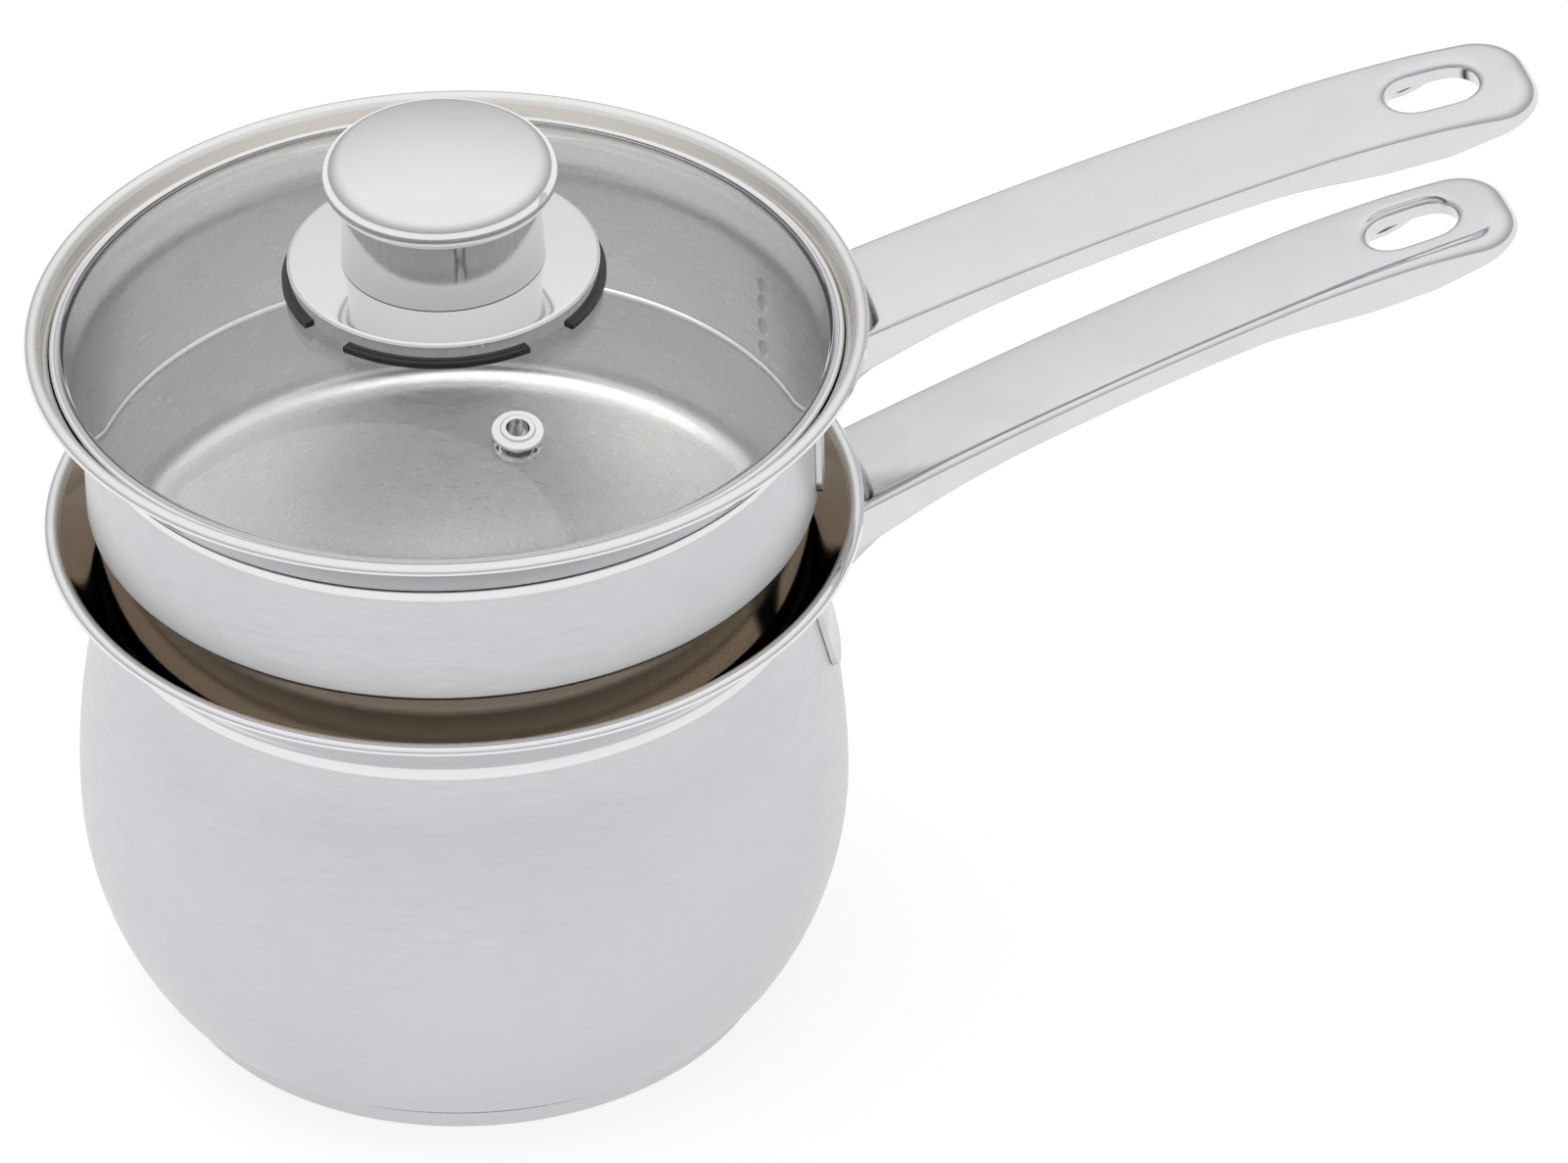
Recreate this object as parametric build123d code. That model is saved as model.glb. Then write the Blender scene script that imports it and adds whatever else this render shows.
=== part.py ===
from build123d import *
from math import asin, atan, cos, degrees, radians, sin, sqrt, tan
import os

# Double boiler in millimetres: a bellied pot, an insert pan that seats in its neck, and a glass lid.
# Z is the common axis, z = 0 is the plane that the base stands on, and the pot's handle points to +X.

# Fits shared by all pieces
sheet = 0.7                     # gauge of both pans
seat_gap = 0.1                  # play between pieces fastened to each other
lift_gap = 0.3                  # play between pieces that lift apart
overrun = 5.0                   # how far a cutting shape stands past what it cuts
rim_curl_bow = 0.6              # inner radius of the curl that ends a rim
curve_shares = (0.0, 0.25, 0.5, 0.75, 1.0)

# Pot
pot_neck_radius = 78.7          # outside of the neck that carries the insert
pot_rim_height = 121.4
pot_rim_reach = 11.6            # from the neck's skin out to the rim's edge
pot_belly_swell = 7.1           # from the neck's skin out to the widest ring
pot_belly_height = 49.7
pot_side_bow = 75.0             # radius of the side below the widest ring
pot_corner_bow = 12.0           # radius of the corner above the base
pot_shoulder_share = 0.6931     # what the shoulder has of the two bends above the widest ring
pot_flare_turn = 84.0           # degrees that the flare bends outward

# Sandwich base
base_thickness = 5.2            # from the standing plane to the pot's floor
base_cap_reach = 4.23           # from the end of the pot's flat floor out to the cap's wall
base_cap_sheet = 0.6
base_cap_bow = 2.6              # radius of the cap's lower edge
base_cap_wall = 5.0             # height of the cap's turned-up wall

# Insert pan
pan_step_rise = 6.6             # from the pot's rim up to the lower edge of the straight wall
pan_step_reach = 1.7            # from the pot's neck out to the straight wall
pan_step_bow = 0.9
pan_step_turn = 62.0            # degrees of each bend of the step
pan_wall_height = 42.1          # from the step up to the rim
pan_rim_reach = 11.6            # from the wall out to the rim's edge
pan_flare_turn = 75.0           # degrees that the flare bends outward
pan_seat_depth = 25.7           # from the step down to the floor's underside
pan_corner_bow = 6.0

# Lid glass
glass_overhang = 1.2            # from the insert's wall out to the ground edge
glass_bow = 228.0               # radius of the dome
glass_edge_fall = 0.48          # from the band's bead down to the dome's rim
glass_thickness = 3.5
glass_edge_bow = 1.2            # radius of the ground edge
glass_bore = 7.0

# Steel band round the glass
band_lap = 3.2                  # from the glass's edge in to the band's edge
band_sheet = 0.6
band_bead_bow = 1.1             # radius of the bead that rests on the pan
band_bead_width = 4.1           # from the glass's edge out to the bead's outside

# Steam vent
vent_inset = 27.2               # from the glass's edge in to the vent's middle
vent_direction = -86.8          # degrees from the pot's handle
vent_bore = 4.8
vent_ring = 7.5
vent_ring_height = 1.7
vent_flange = 11.4
vent_flange_thickness = 0.9
vent_washer = 10.6
vent_washer_thickness = 0.8
vent_fold = 0.4                 # radius of the ring's rolled edge

# Knob
knob_sheet = 0.6
knob_neck_radius = 22.3
knob_neck_waist = 0.5           # how far the neck draws in
knob_rise = 27.4                # from the neck's foot up to the top of the cap
knob_cap_overhang = 3.1         # from the neck out to the cap's widest ring
knob_cap_bow = 130.0            # radius of the shallow dome
knob_cap_roll = 5.1             # radius of the cap's upper edge
knob_cap_undercut_turn = 70.0   # degrees with which the edge turns in over the neck
plate_reach = 11.7              # from the neck out to the plate's edge
plate_height = 4.2              # from the spacer's top up to the neck's foot
plate_roll = 0.9                # radius of the plate's turned-down edge
plate_fall = 0.5                # drop of the plate from the neck to its edge
spacer_rise = 0.5               # from the top of the glass up to the spacer's top
spacer_lobe_reach = 1.2         # from the plate's edge out to a lobe's
spacer_lobe_drop = 0.6          # from the spacer's top down to a lobe's
spacer_lobe_thickness = 1.3
spacer_lobes = 4
spacer_turn = -16.5             # degrees from the pot's handle to the middle of a lobe
spacer_notch_inset = 4.0        # from the plate's edge in to a notch's ground
spacer_notch_turn = 20.0        # degrees of each notch
nut_diameter = 9.0
nut_length = 13.0
nut_rise = 2.0                  # from the spacer's top to the nut's foot
nut_groove_depth = 0.7
nut_groove_width = 1.6
screw_diameter = 5.0
screw_head = 9.6
screw_head_thickness = 2.8
screw_head_fold = 0.8
screw_slot_width = 1.2
screw_slot_depth = 1.4
screw_grip = 11.0               # length of the screw inside the nut
washer_diameter = 15.0
washer_thickness = 1.0
seal_diameter = 18.0
seal_thickness = 1.5

# Handles: one pressing, used on both pans; its own X runs along the chord from wall to tip
handle_length = 168.0
handle_seat_reach = 1.9         # from the pot's neck out to the start of the chord
handle_root_width = 30.6
handle_waist_width = 28.2
handle_waist_share = 0.55
handle_palm_width = 28.8
handle_tip_bow = 11.5           # radius of the tip's two corners
handle_tip_swell = 1.8          # how far the tip's end bulges
handle_sheet = 1.2
handle_fold = 2.1               # radius along the top's edges
handle_lip = 3.4                # width of the turned-in lips
handle_drop = 11.0              # from the rim down to the top of the root
pot_handle_pitch = 16.6         # degrees above level
pan_handle_pitch = 12.4
pan_handle_turn = -1.0          # degrees from the pot's handle to the insert's
pan_handle_roll_turn = 3.0      # degrees that the insert's handle is welded off level
handle_arch = 4.6               # rise of the back over its chord, where its two arcs meet
handle_half_arch = 3.7          # rise halfway to that place
handle_arch_share = 0.68        # place where the two arcs meet
handle_root_depth = 12.7
handle_throat_depth = 8.2
handle_grip_depth = 6.7
handle_palm_depth = 9.7
handle_tip_depth = 4.6
handle_throat_share = 0.155     # place where the lips begin
grip_shares = (0.32, 0.62)      # the stretch where the channel is shallow
palm_shares = (0.77, 0.86)      # the stretch where it is deep again
hole_length = 21.0
hole_width = 13.6
hole_tip_land = 12.0            # from the tip to the hole's end
hole_collar = 4.6               # depth of the hole's turned-down edge
hole_fold = 2.0

# Brackets that carry the handles
foot_sheet = 1.2
foot_width = 58.0
foot_drop = 15.0                # from the rim to the foot's upper edge
foot_corner = 5.0
arm_sheet = 1.5
arm_dip = 3.0                   # how far the arm hangs below the channel at the wall


def turned(face):
    """Solid of revolution about the common axis, its seam turned away from the handles."""
    return Rot(0, 0, 180) * revolve(Plane.XZ * face, Axis.Z)


def spun(line, gauge, side=Side.LEFT):
    """Sheet wall turned about the common axis: the line is one skin, the gauge lies on one side."""
    return turned(make_face(offset(line, gauge, side=side)))


def filled(line):
    """Solid inside a wall whose outer skin is the line, closed by a flat lid across its mouth."""
    mouth = line @ 1
    axis_top = (0, mouth.Y)
    closing = [Line(mouth, axis_top), Line(axis_top, line @ 0)]
    return turned(make_face(Wire([*line.edges(), *[side.edge() for side in closing]])))


def disc(radius, low, high):
    """Round plate on the common axis between two heights."""
    return Pos(0, 0, low) * Cylinder(radius, high - low, align=(Align.CENTER, Align.CENTER, Align.MIN))


def bend(previous, bow, turn):
    """Arc that goes on from the end of an edge; a positive turn bends to the left."""
    return JernArc(previous @ 1, previous % 1, bow, turn)


def free_curve(edge):
    """The same run as a free curve, for arcs so flat that their full circle would cross the axis."""
    if edge.geom_type != GeomType.CIRCLE:
        return edge
    return Spline(*[edge @ share for share in curve_shares], tangents=(edge % 0, edge % 1)).edge()


def flare_bow(rim_radius, wall_radius, turn):
    """Radius of a flare from an upright wall that brings the rim's curl out to the rim radius."""
    lean = cos(radians(turn))
    curl = sheet + rim_curl_bow * (1 + lean)
    return (rim_radius - curl - wall_radius) / (1 - lean)


def flare_foot(rim_height, bow, turn):
    """Height at which that flare leaves the wall."""
    return rim_height - sheet - rim_curl_bow - (bow - rim_curl_bow) * sin(radians(turn))


# Sizes that follow from the ones above
line_ends = ("rim", "flare", "wall")
pot_rim_radius = pot_neck_radius + pot_rim_reach
pot_belly_radius = pot_neck_radius + pot_belly_swell
pot_flare_bow = flare_bow(pot_rim_radius, pot_neck_radius, pot_flare_turn)
pot_neck_height = flare_foot(pot_rim_height, pot_flare_bow, pot_flare_turn)
pot_side_span = pot_side_bow - pot_corner_bow
pot_side_turn = degrees(asin((pot_belly_height - base_thickness - pot_corner_bow) / pot_side_span))
pot_floor_radius = pot_belly_radius - pot_side_bow + pot_side_span * cos(radians(pot_side_turn))
base_cap_radius = pot_floor_radius + base_cap_reach
pan_wall_radius = pot_neck_radius + pan_step_reach
pan_rim_radius = pan_wall_radius + pan_rim_reach
pan_step_height = pot_rim_height + pan_step_rise
pan_rim_height = pan_step_height + pan_wall_height
pan_floor_height = pan_step_height - pan_seat_depth
pan_flare_bow = flare_bow(pan_rim_radius, pan_wall_radius, pan_flare_turn)
pan_flare_height = flare_foot(pan_rim_height, pan_flare_bow, pan_flare_turn)
glass_radius = pan_wall_radius + glass_overhang
vent_place = glass_radius - vent_inset
band_inner_radius = glass_radius - band_lap
bead_radius = glass_radius + band_bead_width - band_bead_bow
bead_span = pan_flare_bow + sheet + lift_gap + band_bead_bow
bead_height = pan_flare_height + sqrt(bead_span ** 2 - (pan_wall_radius + pan_flare_bow - bead_radius) ** 2)
glass_middle_height = bead_height - glass_edge_fall - sqrt(glass_bow ** 2 - glass_radius ** 2)
glass_top_height = glass_middle_height + glass_bow
plate_radius = knob_neck_radius + plate_reach
spacer_top_height = glass_top_height + spacer_rise
spacer_lobe_radius = plate_radius + spacer_lobe_reach
spacer_lobe_height = spacer_top_height - spacer_lobe_drop
spacer_notch_radius = plate_radius - spacer_notch_inset
knob_neck_foot_height = spacer_top_height + plate_height
knob_top_height = knob_neck_foot_height + knob_rise
knob_cap_radius = knob_neck_radius + knob_cap_overhang
knob_cap_undercut = (knob_cap_overhang - seat_gap) / (1 - cos(radians(knob_cap_undercut_turn)))
core_radius = knob_neck_radius - knob_neck_waist - knob_sheet - seat_gap
handle_seat_radius = pot_neck_radius + handle_seat_reach
foot_height = pan_wall_height - foot_drop - seat_gap


def pot_line(end="rim"):
    """Outer skin of the pot, from the middle of its floor up to its wall's end, its flare or its rim."""
    climb = pot_neck_height - pot_belly_height
    shoulder_turn = 2 * degrees(atan(pot_belly_swell / climb))
    both_bows = climb / sin(radians(shoulder_turn))
    shoulder_bow = both_bows * pot_shoulder_share
    floor = Line((0, base_thickness), (pot_floor_radius, base_thickness))
    corner = bend(floor, pot_corner_bow, 90 - pot_side_turn)
    side = bend(corner, pot_side_bow, pot_side_turn)
    shoulder = bend(side, shoulder_bow, shoulder_turn)
    throat = bend(shoulder, both_bows - shoulder_bow, -shoulder_turn)
    flare = bend(throat, pot_flare_bow, -pot_flare_turn)
    curl = bend(flare, rim_curl_bow, pot_flare_turn - 180)
    parts = [floor, corner, side, shoulder, throat, flare, curl]
    return Wire([part.edge() for part in parts[:len(parts) - line_ends.index(end)]])


def pan_line(end="rim"):
    """Outer skin of the insert: floor, tapered seat, step, straight wall, flare and rim."""
    seat_radius = pot_neck_radius - sheet - lift_gap
    step_rise = 2 * pan_step_bow * sin(radians(pan_step_turn))
    step_reach = 2 * pan_step_bow * (1 - cos(radians(pan_step_turn)))
    taper_top = Vector(pan_wall_radius - step_reach, pan_step_height - step_rise)
    seat_slope = (taper_top.X - seat_radius) / (taper_top.Y - pot_neck_height)
    taper_angle = degrees(atan(seat_slope))
    corner_rise = pan_corner_bow * (1 - sin(radians(taper_angle)))
    corner_top = taper_top.X - seat_slope * (taper_top.Y - pan_floor_height - corner_rise)
    floor_radius = corner_top - pan_corner_bow * cos(radians(taper_angle))
    floor = Line((0, pan_floor_height), (floor_radius, pan_floor_height))
    corner = bend(floor, pan_corner_bow, 90 - taper_angle)
    seat = Line(corner @ 1, taper_top)
    step_out = bend(seat, pan_step_bow, taper_angle - pan_step_turn)
    step_up = bend(step_out, pan_step_bow, pan_step_turn)
    wall = Line(step_up @ 1, ((step_up @ 1).X, pan_flare_height))
    flare = bend(wall, pan_flare_bow, -pan_flare_turn)
    curl = bend(flare, rim_curl_bow, pan_flare_turn - 180)
    parts = [floor, corner, seat, step_out, step_up, wall, flare, curl]
    return Wire([part.edge() for part in parts[:len(parts) - line_ends.index(end)]])


def pot_shell():
    """Bellied pot, drawn and flared from one sheet."""
    return spun(pot_line(), sheet)


def base_cap():
    """Steel cup under the pot that closes the sandwich base."""
    floor = Line((0, 0), (base_cap_radius - base_cap_bow, 0))
    corner = bend(floor, base_cap_bow, 90)
    wall = Line(corner @ 1, (base_cap_radius, base_cap_wall))
    return spun(Wire([part.edge() for part in (floor, corner, wall)]), base_cap_sheet)


def base_core():
    """Aluminium plate pressed between the cap and the pot's floor, flush with the cap's wall inside."""
    radius = base_cap_radius - base_cap_sheet - seat_gap
    bow = base_cap_bow - base_cap_sheet
    block = disc(radius, base_cap_sheet, base_cap_wall + base_thickness)
    block = fillet(block.edges().sort_by(Axis.Z)[0], bow)
    return block - filled(pot_line("wall"))


def pan_shell():
    """Insert pan, drawn and flared from one sheet."""
    return spun(pan_line(), sheet)


def dome_height(radius):
    """Height of the glass's upper face at a distance from the axis."""
    return glass_middle_height + sqrt(glass_bow ** 2 - radius ** 2)


def glass_face(grow=0.0):
    """Half section of the domed glass with its ground edge, grown all round by a gap or a gauge."""
    top_bow = glass_bow + grow
    low_bow = glass_bow - glass_thickness - grow
    edge = glass_radius + grow
    outer = Pos(0, glass_middle_height) * Circle(top_bow)
    inner = Pos(0, glass_middle_height) * Circle(low_bow)
    half = Pos(edge / 2, glass_top_height) * Rectangle(edge, 2 * glass_thickness + 2 * overrun + glass_bow)
    face = (outer - inner) & half
    corners = face.vertices().filter_by(lambda corner: corner.X > edge - glass_edge_bow)
    return fillet(corners, glass_edge_bow + grow)


def vent_frame():
    """Frame on the glass's upper face at the vent, with its Z square to the dome."""
    lean = degrees(asin(vent_place / glass_bow))
    return Rot(0, 0, vent_direction) * Pos(vent_place, 0, dome_height(vent_place)) * Rot(0, lean, 0)


def lid_glass():
    """Tempered glass dome with a hole for the knob's screw and one for the vent."""
    dome = turned(glass_face())
    bore = disc(glass_bore / 2, glass_top_height - glass_thickness - overrun, glass_top_height + overrun)
    barrel = vent_ring / 2 + seat_gap
    vent_hole = vent_frame() * Cylinder(barrel, 2 * (glass_thickness + overrun))
    return dome - bore - vent_hole


def lid_band():
    """Steel band folded round the edge of the glass, with the bead that rests in the insert's flare."""
    skin = seat_gap + band_sheet
    bead = Pos(bead_radius, bead_height) * Circle(band_bead_bow)
    web_width = bead_radius - glass_radius
    web = Pos(glass_radius + web_width / 2, bead_height) * Rectangle(web_width, band_sheet)
    cut = Pos(band_inner_radius / 2, glass_top_height) * Rectangle(band_inner_radius, glass_bow)
    return turned(glass_face(skin) - cut + web + bead - glass_face(seat_gap))


def vent_eyelet():
    """Flanged eyelet with a raised ring round the steam hole, flared under the washer below."""
    depth = glass_thickness + vent_washer_thickness + 2 * seat_gap
    flange_place = Pos(0, 0, seat_gap + vent_flange_thickness / 2)
    flange = flange_place * Cylinder(vent_flange / 2, vent_flange_thickness)
    flange = fillet(flange.edges().sort_by(Axis.Z)[-1], vent_fold)
    ring_top = vent_ring_height + seat_gap
    barrel = Pos(0, 0, (ring_top - depth) / 2) * Cylinder(vent_ring / 2, ring_top + depth)
    barrel = fillet(barrel.edges().sort_by(Axis.Z)[-1], vent_fold)
    flare_height = vent_washer_thickness
    flare = Pos(0, 0, -depth - flare_height / 2) * Cylinder(vent_flange / 2 - vent_fold, flare_height)
    flare = fillet(flare.edges().sort_by(Axis.Z)[0], vent_fold)
    bore = Cylinder(vent_bore / 2, 2 * (depth + overrun))
    return vent_frame() * (flange + barrel + flare - bore)


def vent_washer_ring():
    """Washer that backs the eyelet under the glass."""
    middle = -glass_thickness - seat_gap - vent_washer_thickness / 2
    plate = Cylinder(vent_washer / 2, vent_washer_thickness)
    plate -= Cylinder(vent_ring / 2 + seat_gap, vent_washer_thickness + overrun)
    return vent_frame() * Pos(0, 0, middle) * plate


def plate_line():
    """Upper skin of the knob's base plate, from under the neck to its turned-down edge."""
    foot_place = Vector(core_radius + 2 * seat_gap, knob_neck_foot_height)
    shoulder = Vector(plate_radius - plate_roll, knob_neck_foot_height - plate_fall)
    slope = Line(foot_place, shoulder)
    fall = degrees(atan(plate_fall / (shoulder.X - foot_place.X)))
    roll = bend(slope, plate_roll, fall - 90)
    hem = Line(roll @ 1, ((roll @ 1).X, spacer_lobe_height + seat_gap))
    return Wire([part.edge() for part in (slope, roll, hem)])


def knob_base_plate():
    """Steel plate with a turned-down edge that covers the spacer."""
    return spun(plate_line(), knob_sheet, Side.RIGHT)


def knob_spacer():
    """Heat spacer between plate and glass: a disc that follows the dome, with flat lobes past the plate."""
    blank = disc(spacer_lobe_radius, spacer_lobe_height - spacer_lobe_thickness, spacer_lobe_height)
    span = 360 / spacer_lobes
    for lobe in range(spacer_lobes):
        blank -= notch_wedge(spacer_turn + span * (lobe + 1 / 2))
    blank += disc(spacer_notch_radius, dome_height(spacer_notch_radius), spacer_top_height)
    blank -= Pos(0, 0, glass_middle_height) * Sphere(glass_bow + seat_gap)
    bore = disc(screw_diameter / 2 + seat_gap, glass_top_height - overrun, spacer_top_height + overrun)
    return blank - bore


def notch_wedge(direction):
    """Wedge that cuts one notch between two lobes."""
    reach = 2 * spacer_lobe_radius
    half = reach * tan(radians(spacer_notch_turn / 2))
    outline = Polyline((0, 0), (reach, half), (reach, -half), close=True)
    return Rot(0, 0, direction) * extrude(make_face(outline), 2 * glass_top_height)


def cap_edge_height():
    """Height of the cap's widest ring, where its dome has rolled over."""
    reach = knob_cap_radius - knob_cap_roll
    return knob_top_height - knob_cap_bow + sqrt((knob_cap_bow - knob_cap_roll) ** 2 - reach ** 2)


def knob_cap():
    """Domed steel top whose edge rolls over and turns in above the neck."""
    reach = knob_cap_radius - knob_cap_roll
    dome_turn = degrees(asin(reach / (knob_cap_bow - knob_cap_roll)))
    dome = JernArc((0, knob_top_height), (1, 0), knob_cap_bow, -dome_turn)
    roll = bend(dome, knob_cap_roll, dome_turn - 90)
    undercut = bend(roll, knob_cap_undercut, -knob_cap_undercut_turn)
    return spun(Wire([part.edge() for part in (dome, roll, undercut)]), knob_sheet, Side.RIGHT)


def neck_top_height():
    """Height at which the neck ends inside the cap's turned-in edge."""
    return cap_edge_height() - knob_cap_undercut * sin(radians(knob_cap_undercut_turn)) - seat_gap


def knob_neck():
    """Waisted steel tube between the plate and the cap."""
    low = knob_neck_foot_height + seat_gap
    high = neck_top_height()
    waist = (knob_neck_radius - knob_neck_waist, (low + high) / 2)
    line = ThreePointArc((knob_neck_radius, low), waist, (knob_neck_radius, high))
    return spun(Wire([line.edge()]), knob_sheet)


def knob_core():
    """Moulded body that fills plate, neck and cap and holds the threaded insert."""
    flange_radius = plate_radius - plate_roll - seat_gap
    flange_top = knob_neck_foot_height - plate_fall - plate_roll
    cap_fall = knob_cap_bow - sqrt(knob_cap_bow ** 2 - core_radius ** 2)
    body_top = knob_top_height - cap_fall - knob_sheet - 2 * seat_gap
    body = disc(flange_radius, spacer_top_height, flange_top)
    body += disc(core_radius, spacer_top_height, body_top)
    pocket_top = spacer_top_height + nut_rise + nut_length
    bore = disc(screw_diameter / 2 + seat_gap, spacer_top_height - overrun, pocket_top)
    return body - bore - disc(nut_diameter / 2, spacer_top_height + nut_rise, pocket_top)


def knob_nut():
    """Brass insert moulded into the core, with a groove that keeps it from pulling out."""
    foot = spacer_top_height + nut_rise
    nut = disc(nut_diameter / 2, foot, foot + nut_length)
    nut -= disc(screw_diameter / 2 + seat_gap, foot - overrun, foot + nut_length + overrun)
    middle = foot + nut_length / 2
    keep = disc(nut_diameter / 2 - nut_groove_depth, foot, foot + nut_length)
    groove = disc(nut_diameter, middle - nut_groove_width / 2, middle + nut_groove_width / 2) - keep
    return nut - groove


def screw_stack_height():
    """Height of the glass's lower face at the axis, against which the seal lies."""
    return glass_top_height - glass_thickness


def screw_seal():
    """Silicone ring between the washer and the hollow of the glass, which its top follows."""
    high = screw_stack_height() - seat_gap
    ring = disc(seal_diameter / 2, high - seal_thickness, high)
    ring -= disc(screw_diameter / 2 + seat_gap, high - seal_thickness - overrun, high + overrun)
    return ring & Pos(0, 0, glass_middle_height) * Sphere(glass_bow - glass_thickness - seat_gap)


def screw_washer():
    """Steel washer under the seal."""
    high = screw_stack_height() - seat_gap - seal_thickness
    ring = disc(washer_diameter / 2, high - washer_thickness, high)
    return ring - disc(screw_diameter / 2 + seat_gap, high - washer_thickness - overrun, high + overrun)


def knob_screw():
    """Pan-head screw that clamps the knob to the glass from below."""
    seat = screw_stack_height() - seat_gap - seal_thickness - washer_thickness
    head = disc(screw_head / 2, seat - screw_head_thickness, seat)
    head = fillet(head.edges().sort_by(Axis.Z)[0], screw_head_fold)
    slot_place = Pos(0, 0, seat - screw_head_thickness + screw_slot_depth / 2)
    slot = slot_place * Box(2 * screw_head, screw_slot_width, screw_slot_depth)
    shank = disc(screw_diameter / 2, seat, spacer_top_height + nut_rise + screw_grip)
    return head - slot + shank


def back_lines(sink=0.0):
    """The two tangent arcs of the handle's back in side view, sunk below the surface by a gauge."""
    meet = handle_length * handle_arch_share
    near = ThreePointArc((0, -sink), (meet / 2, handle_half_arch - sink), (meet, handle_arch - sink))
    return [near, TangentArc(near @ 1, (handle_length, -sink), tangent=near % 1)]


def back_height(share):
    """Rise of the handle's back over its chord at a share of its length."""
    meet = handle_arch_share
    bow = 2 * (2 * handle_half_arch - handle_arch) / meet ** 2
    start_slope = handle_arch / meet + bow * meet
    if share <= meet:
        return start_slope * share - bow * share ** 2
    run = share - meet
    slope = start_slope - 2 * bow * meet
    return handle_arch + slope * run - (handle_arch + slope * (1 - meet)) * (run / (1 - meet)) ** 2


def belly_points(lift=0.0):
    """Points of the channel's lower edge in side view, from root to kink, lifted by a gauge."""
    depths = {
        0.0: handle_root_depth, handle_throat_share: handle_throat_depth,
        grip_shares[0]: handle_grip_depth, grip_shares[1]: handle_grip_depth,
        palm_shares[0]: handle_palm_depth, palm_shares[1]: handle_palm_depth,
    }
    return [(handle_length * share, back_height(share) - depth + lift) for share, depth in depths.items()]


def before(edge, run):
    """Point that lies a run along X before the start of an edge, straight back from it."""
    return edge @ 0 - (edge % 0) * (run / (edge % 0).X)


def side_face(sink=0.0, lift=0.0, root=overrun):
    """Side view of the pressing: arched back, waved lower edge and the straight run to the tip."""
    near, far = back_lines(sink)
    belly = Spline(*belly_points(lift))
    tip_low = lift - handle_tip_depth
    end = handle_length + overrun
    outline = [
        near, far, Polyline(far @ 1, (end, -sink), (end, tip_low), (handle_length, tip_low), belly @ 1),
        belly, Polyline(belly @ 0, (-root, (belly @ 0).Y), before(near, root), near @ 0),
    ]
    return make_face([edge for part in outline for edge in part.edges()])


def plan_face(inset=0.0, root=overrun):
    """Top view of the pressing: waisted sides and a rounded tip, drawn in by an inset."""
    root_half = handle_root_width / 2 - inset
    waist_half = handle_waist_width / 2 - inset
    palm_half = handle_palm_width / 2 - inset
    waist = handle_length * handle_waist_share
    tip = handle_length - inset
    end = tip - handle_tip_swell
    side = ThreePointArc((0, root_half), (waist, waist_half), (end, palm_half))
    other = ThreePointArc((0, -root_half), (waist, -waist_half), (end, -palm_half))
    cap = ThreePointArc(side @ 1, (tip, 0), other @ 1)
    root_line = Polyline(other @ 0, before(other, root), before(side, root), side @ 0)
    outline = make_face([edge for part in (side, cap, other, root_line) for edge in part.edges()])
    corners = outline.vertices().filter_by(lambda corner: corner.X > end - seat_gap)
    return fillet(corners, handle_tip_bow - inset)


def from_side(face, half_width):
    """Body with a given side view, as wide as asked."""
    return extrude(Plane.XZ * face, half_width, both=True)


def from_above(face):
    """Body with a given top view, deep enough for the whole pressing."""
    return extrude(face, handle_length, both=True)


def hole_face(grow=0.0):
    """Hanging hole in top view."""
    middle = handle_length - hole_tip_land - hole_length / 2
    return Pos(middle, 0) * SlotOverall(hole_length + 2 * grow, hole_width + 2 * grow)


def handle_pressing():
    """Hollow handle pressed from one sheet: a channel with lips, a closed tip and a collared hole."""
    width = handle_root_width
    body = from_side(side_face(), width) & from_above(plan_face())
    folds = body.edges().filter_by(is_fold)
    body = fillet(folds, handle_fold)
    hollow = from_side(side_face(handle_sheet, handle_sheet, 2 * overrun), width)
    hollow &= from_above(plan_face(handle_sheet, 2 * overrun))
    collar = from_above(hole_face(handle_sheet)) & from_side(collar_face(), width)
    deep = from_side(side_face(handle_sheet, -overrun, 2 * overrun), width)
    slot = deep & from_above(plan_face(handle_lip, 2 * overrun))
    ends = end_windows() & deep & from_above(plan_face(handle_sheet, 2 * overrun))
    body -= hollow + slot + ends - collar
    body -= from_above(hole_face())
    return fillet(hole_edges(body), hole_fold)


def is_fold(edge):
    """Whether an edge of the blank runs along the back's rim, beside or around the tip; none is straight."""
    place = edge.center()
    share = place.X / handle_length
    along = edge.geom_type != GeomType.LINE
    return along and 0 < share <= 1 and abs(place.Z - back_height(share)) < handle_sheet


def collar_face():
    """Side view of the stretch in which the hole's turned-down edge stands."""
    near, far = back_lines()
    low_near, low_far = back_lines(hole_collar)
    outline = [near, far, Line(far @ 1, low_far @ 1), low_far, low_near, Line(low_near @ 0, near @ 0)]
    return make_face([part.edge() for part in outline])


def end_windows():
    """The two stretches without lips: at the root, and from the kink to the tip."""
    height = 2 * handle_root_depth
    throat = handle_length * handle_throat_share
    root = Pos(throat / 2 - overrun, 0, -height) * Box(
        throat + 2 * overrun, handle_root_width, 2 * height)
    kink = handle_length * palm_shares[1]
    tip = Pos(kink + handle_length / 2, 0, -height) * Box(handle_length, handle_root_width, 2 * height)
    return root + tip


def hole_edges(body):
    """Upper edge of the hanging hole."""
    middle = handle_length - hole_tip_land - hole_length / 2
    level = back_height(middle / handle_length) - hole_collar / 2

    def on_hole(edge):
        place = edge.center()
        near = abs(place.X - middle) < hole_length / 2 + seat_gap
        return near and abs(place.Y) < hole_width / 2 + seat_gap and place.Z > level

    return body.edges().filter_by(on_hole)


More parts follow.
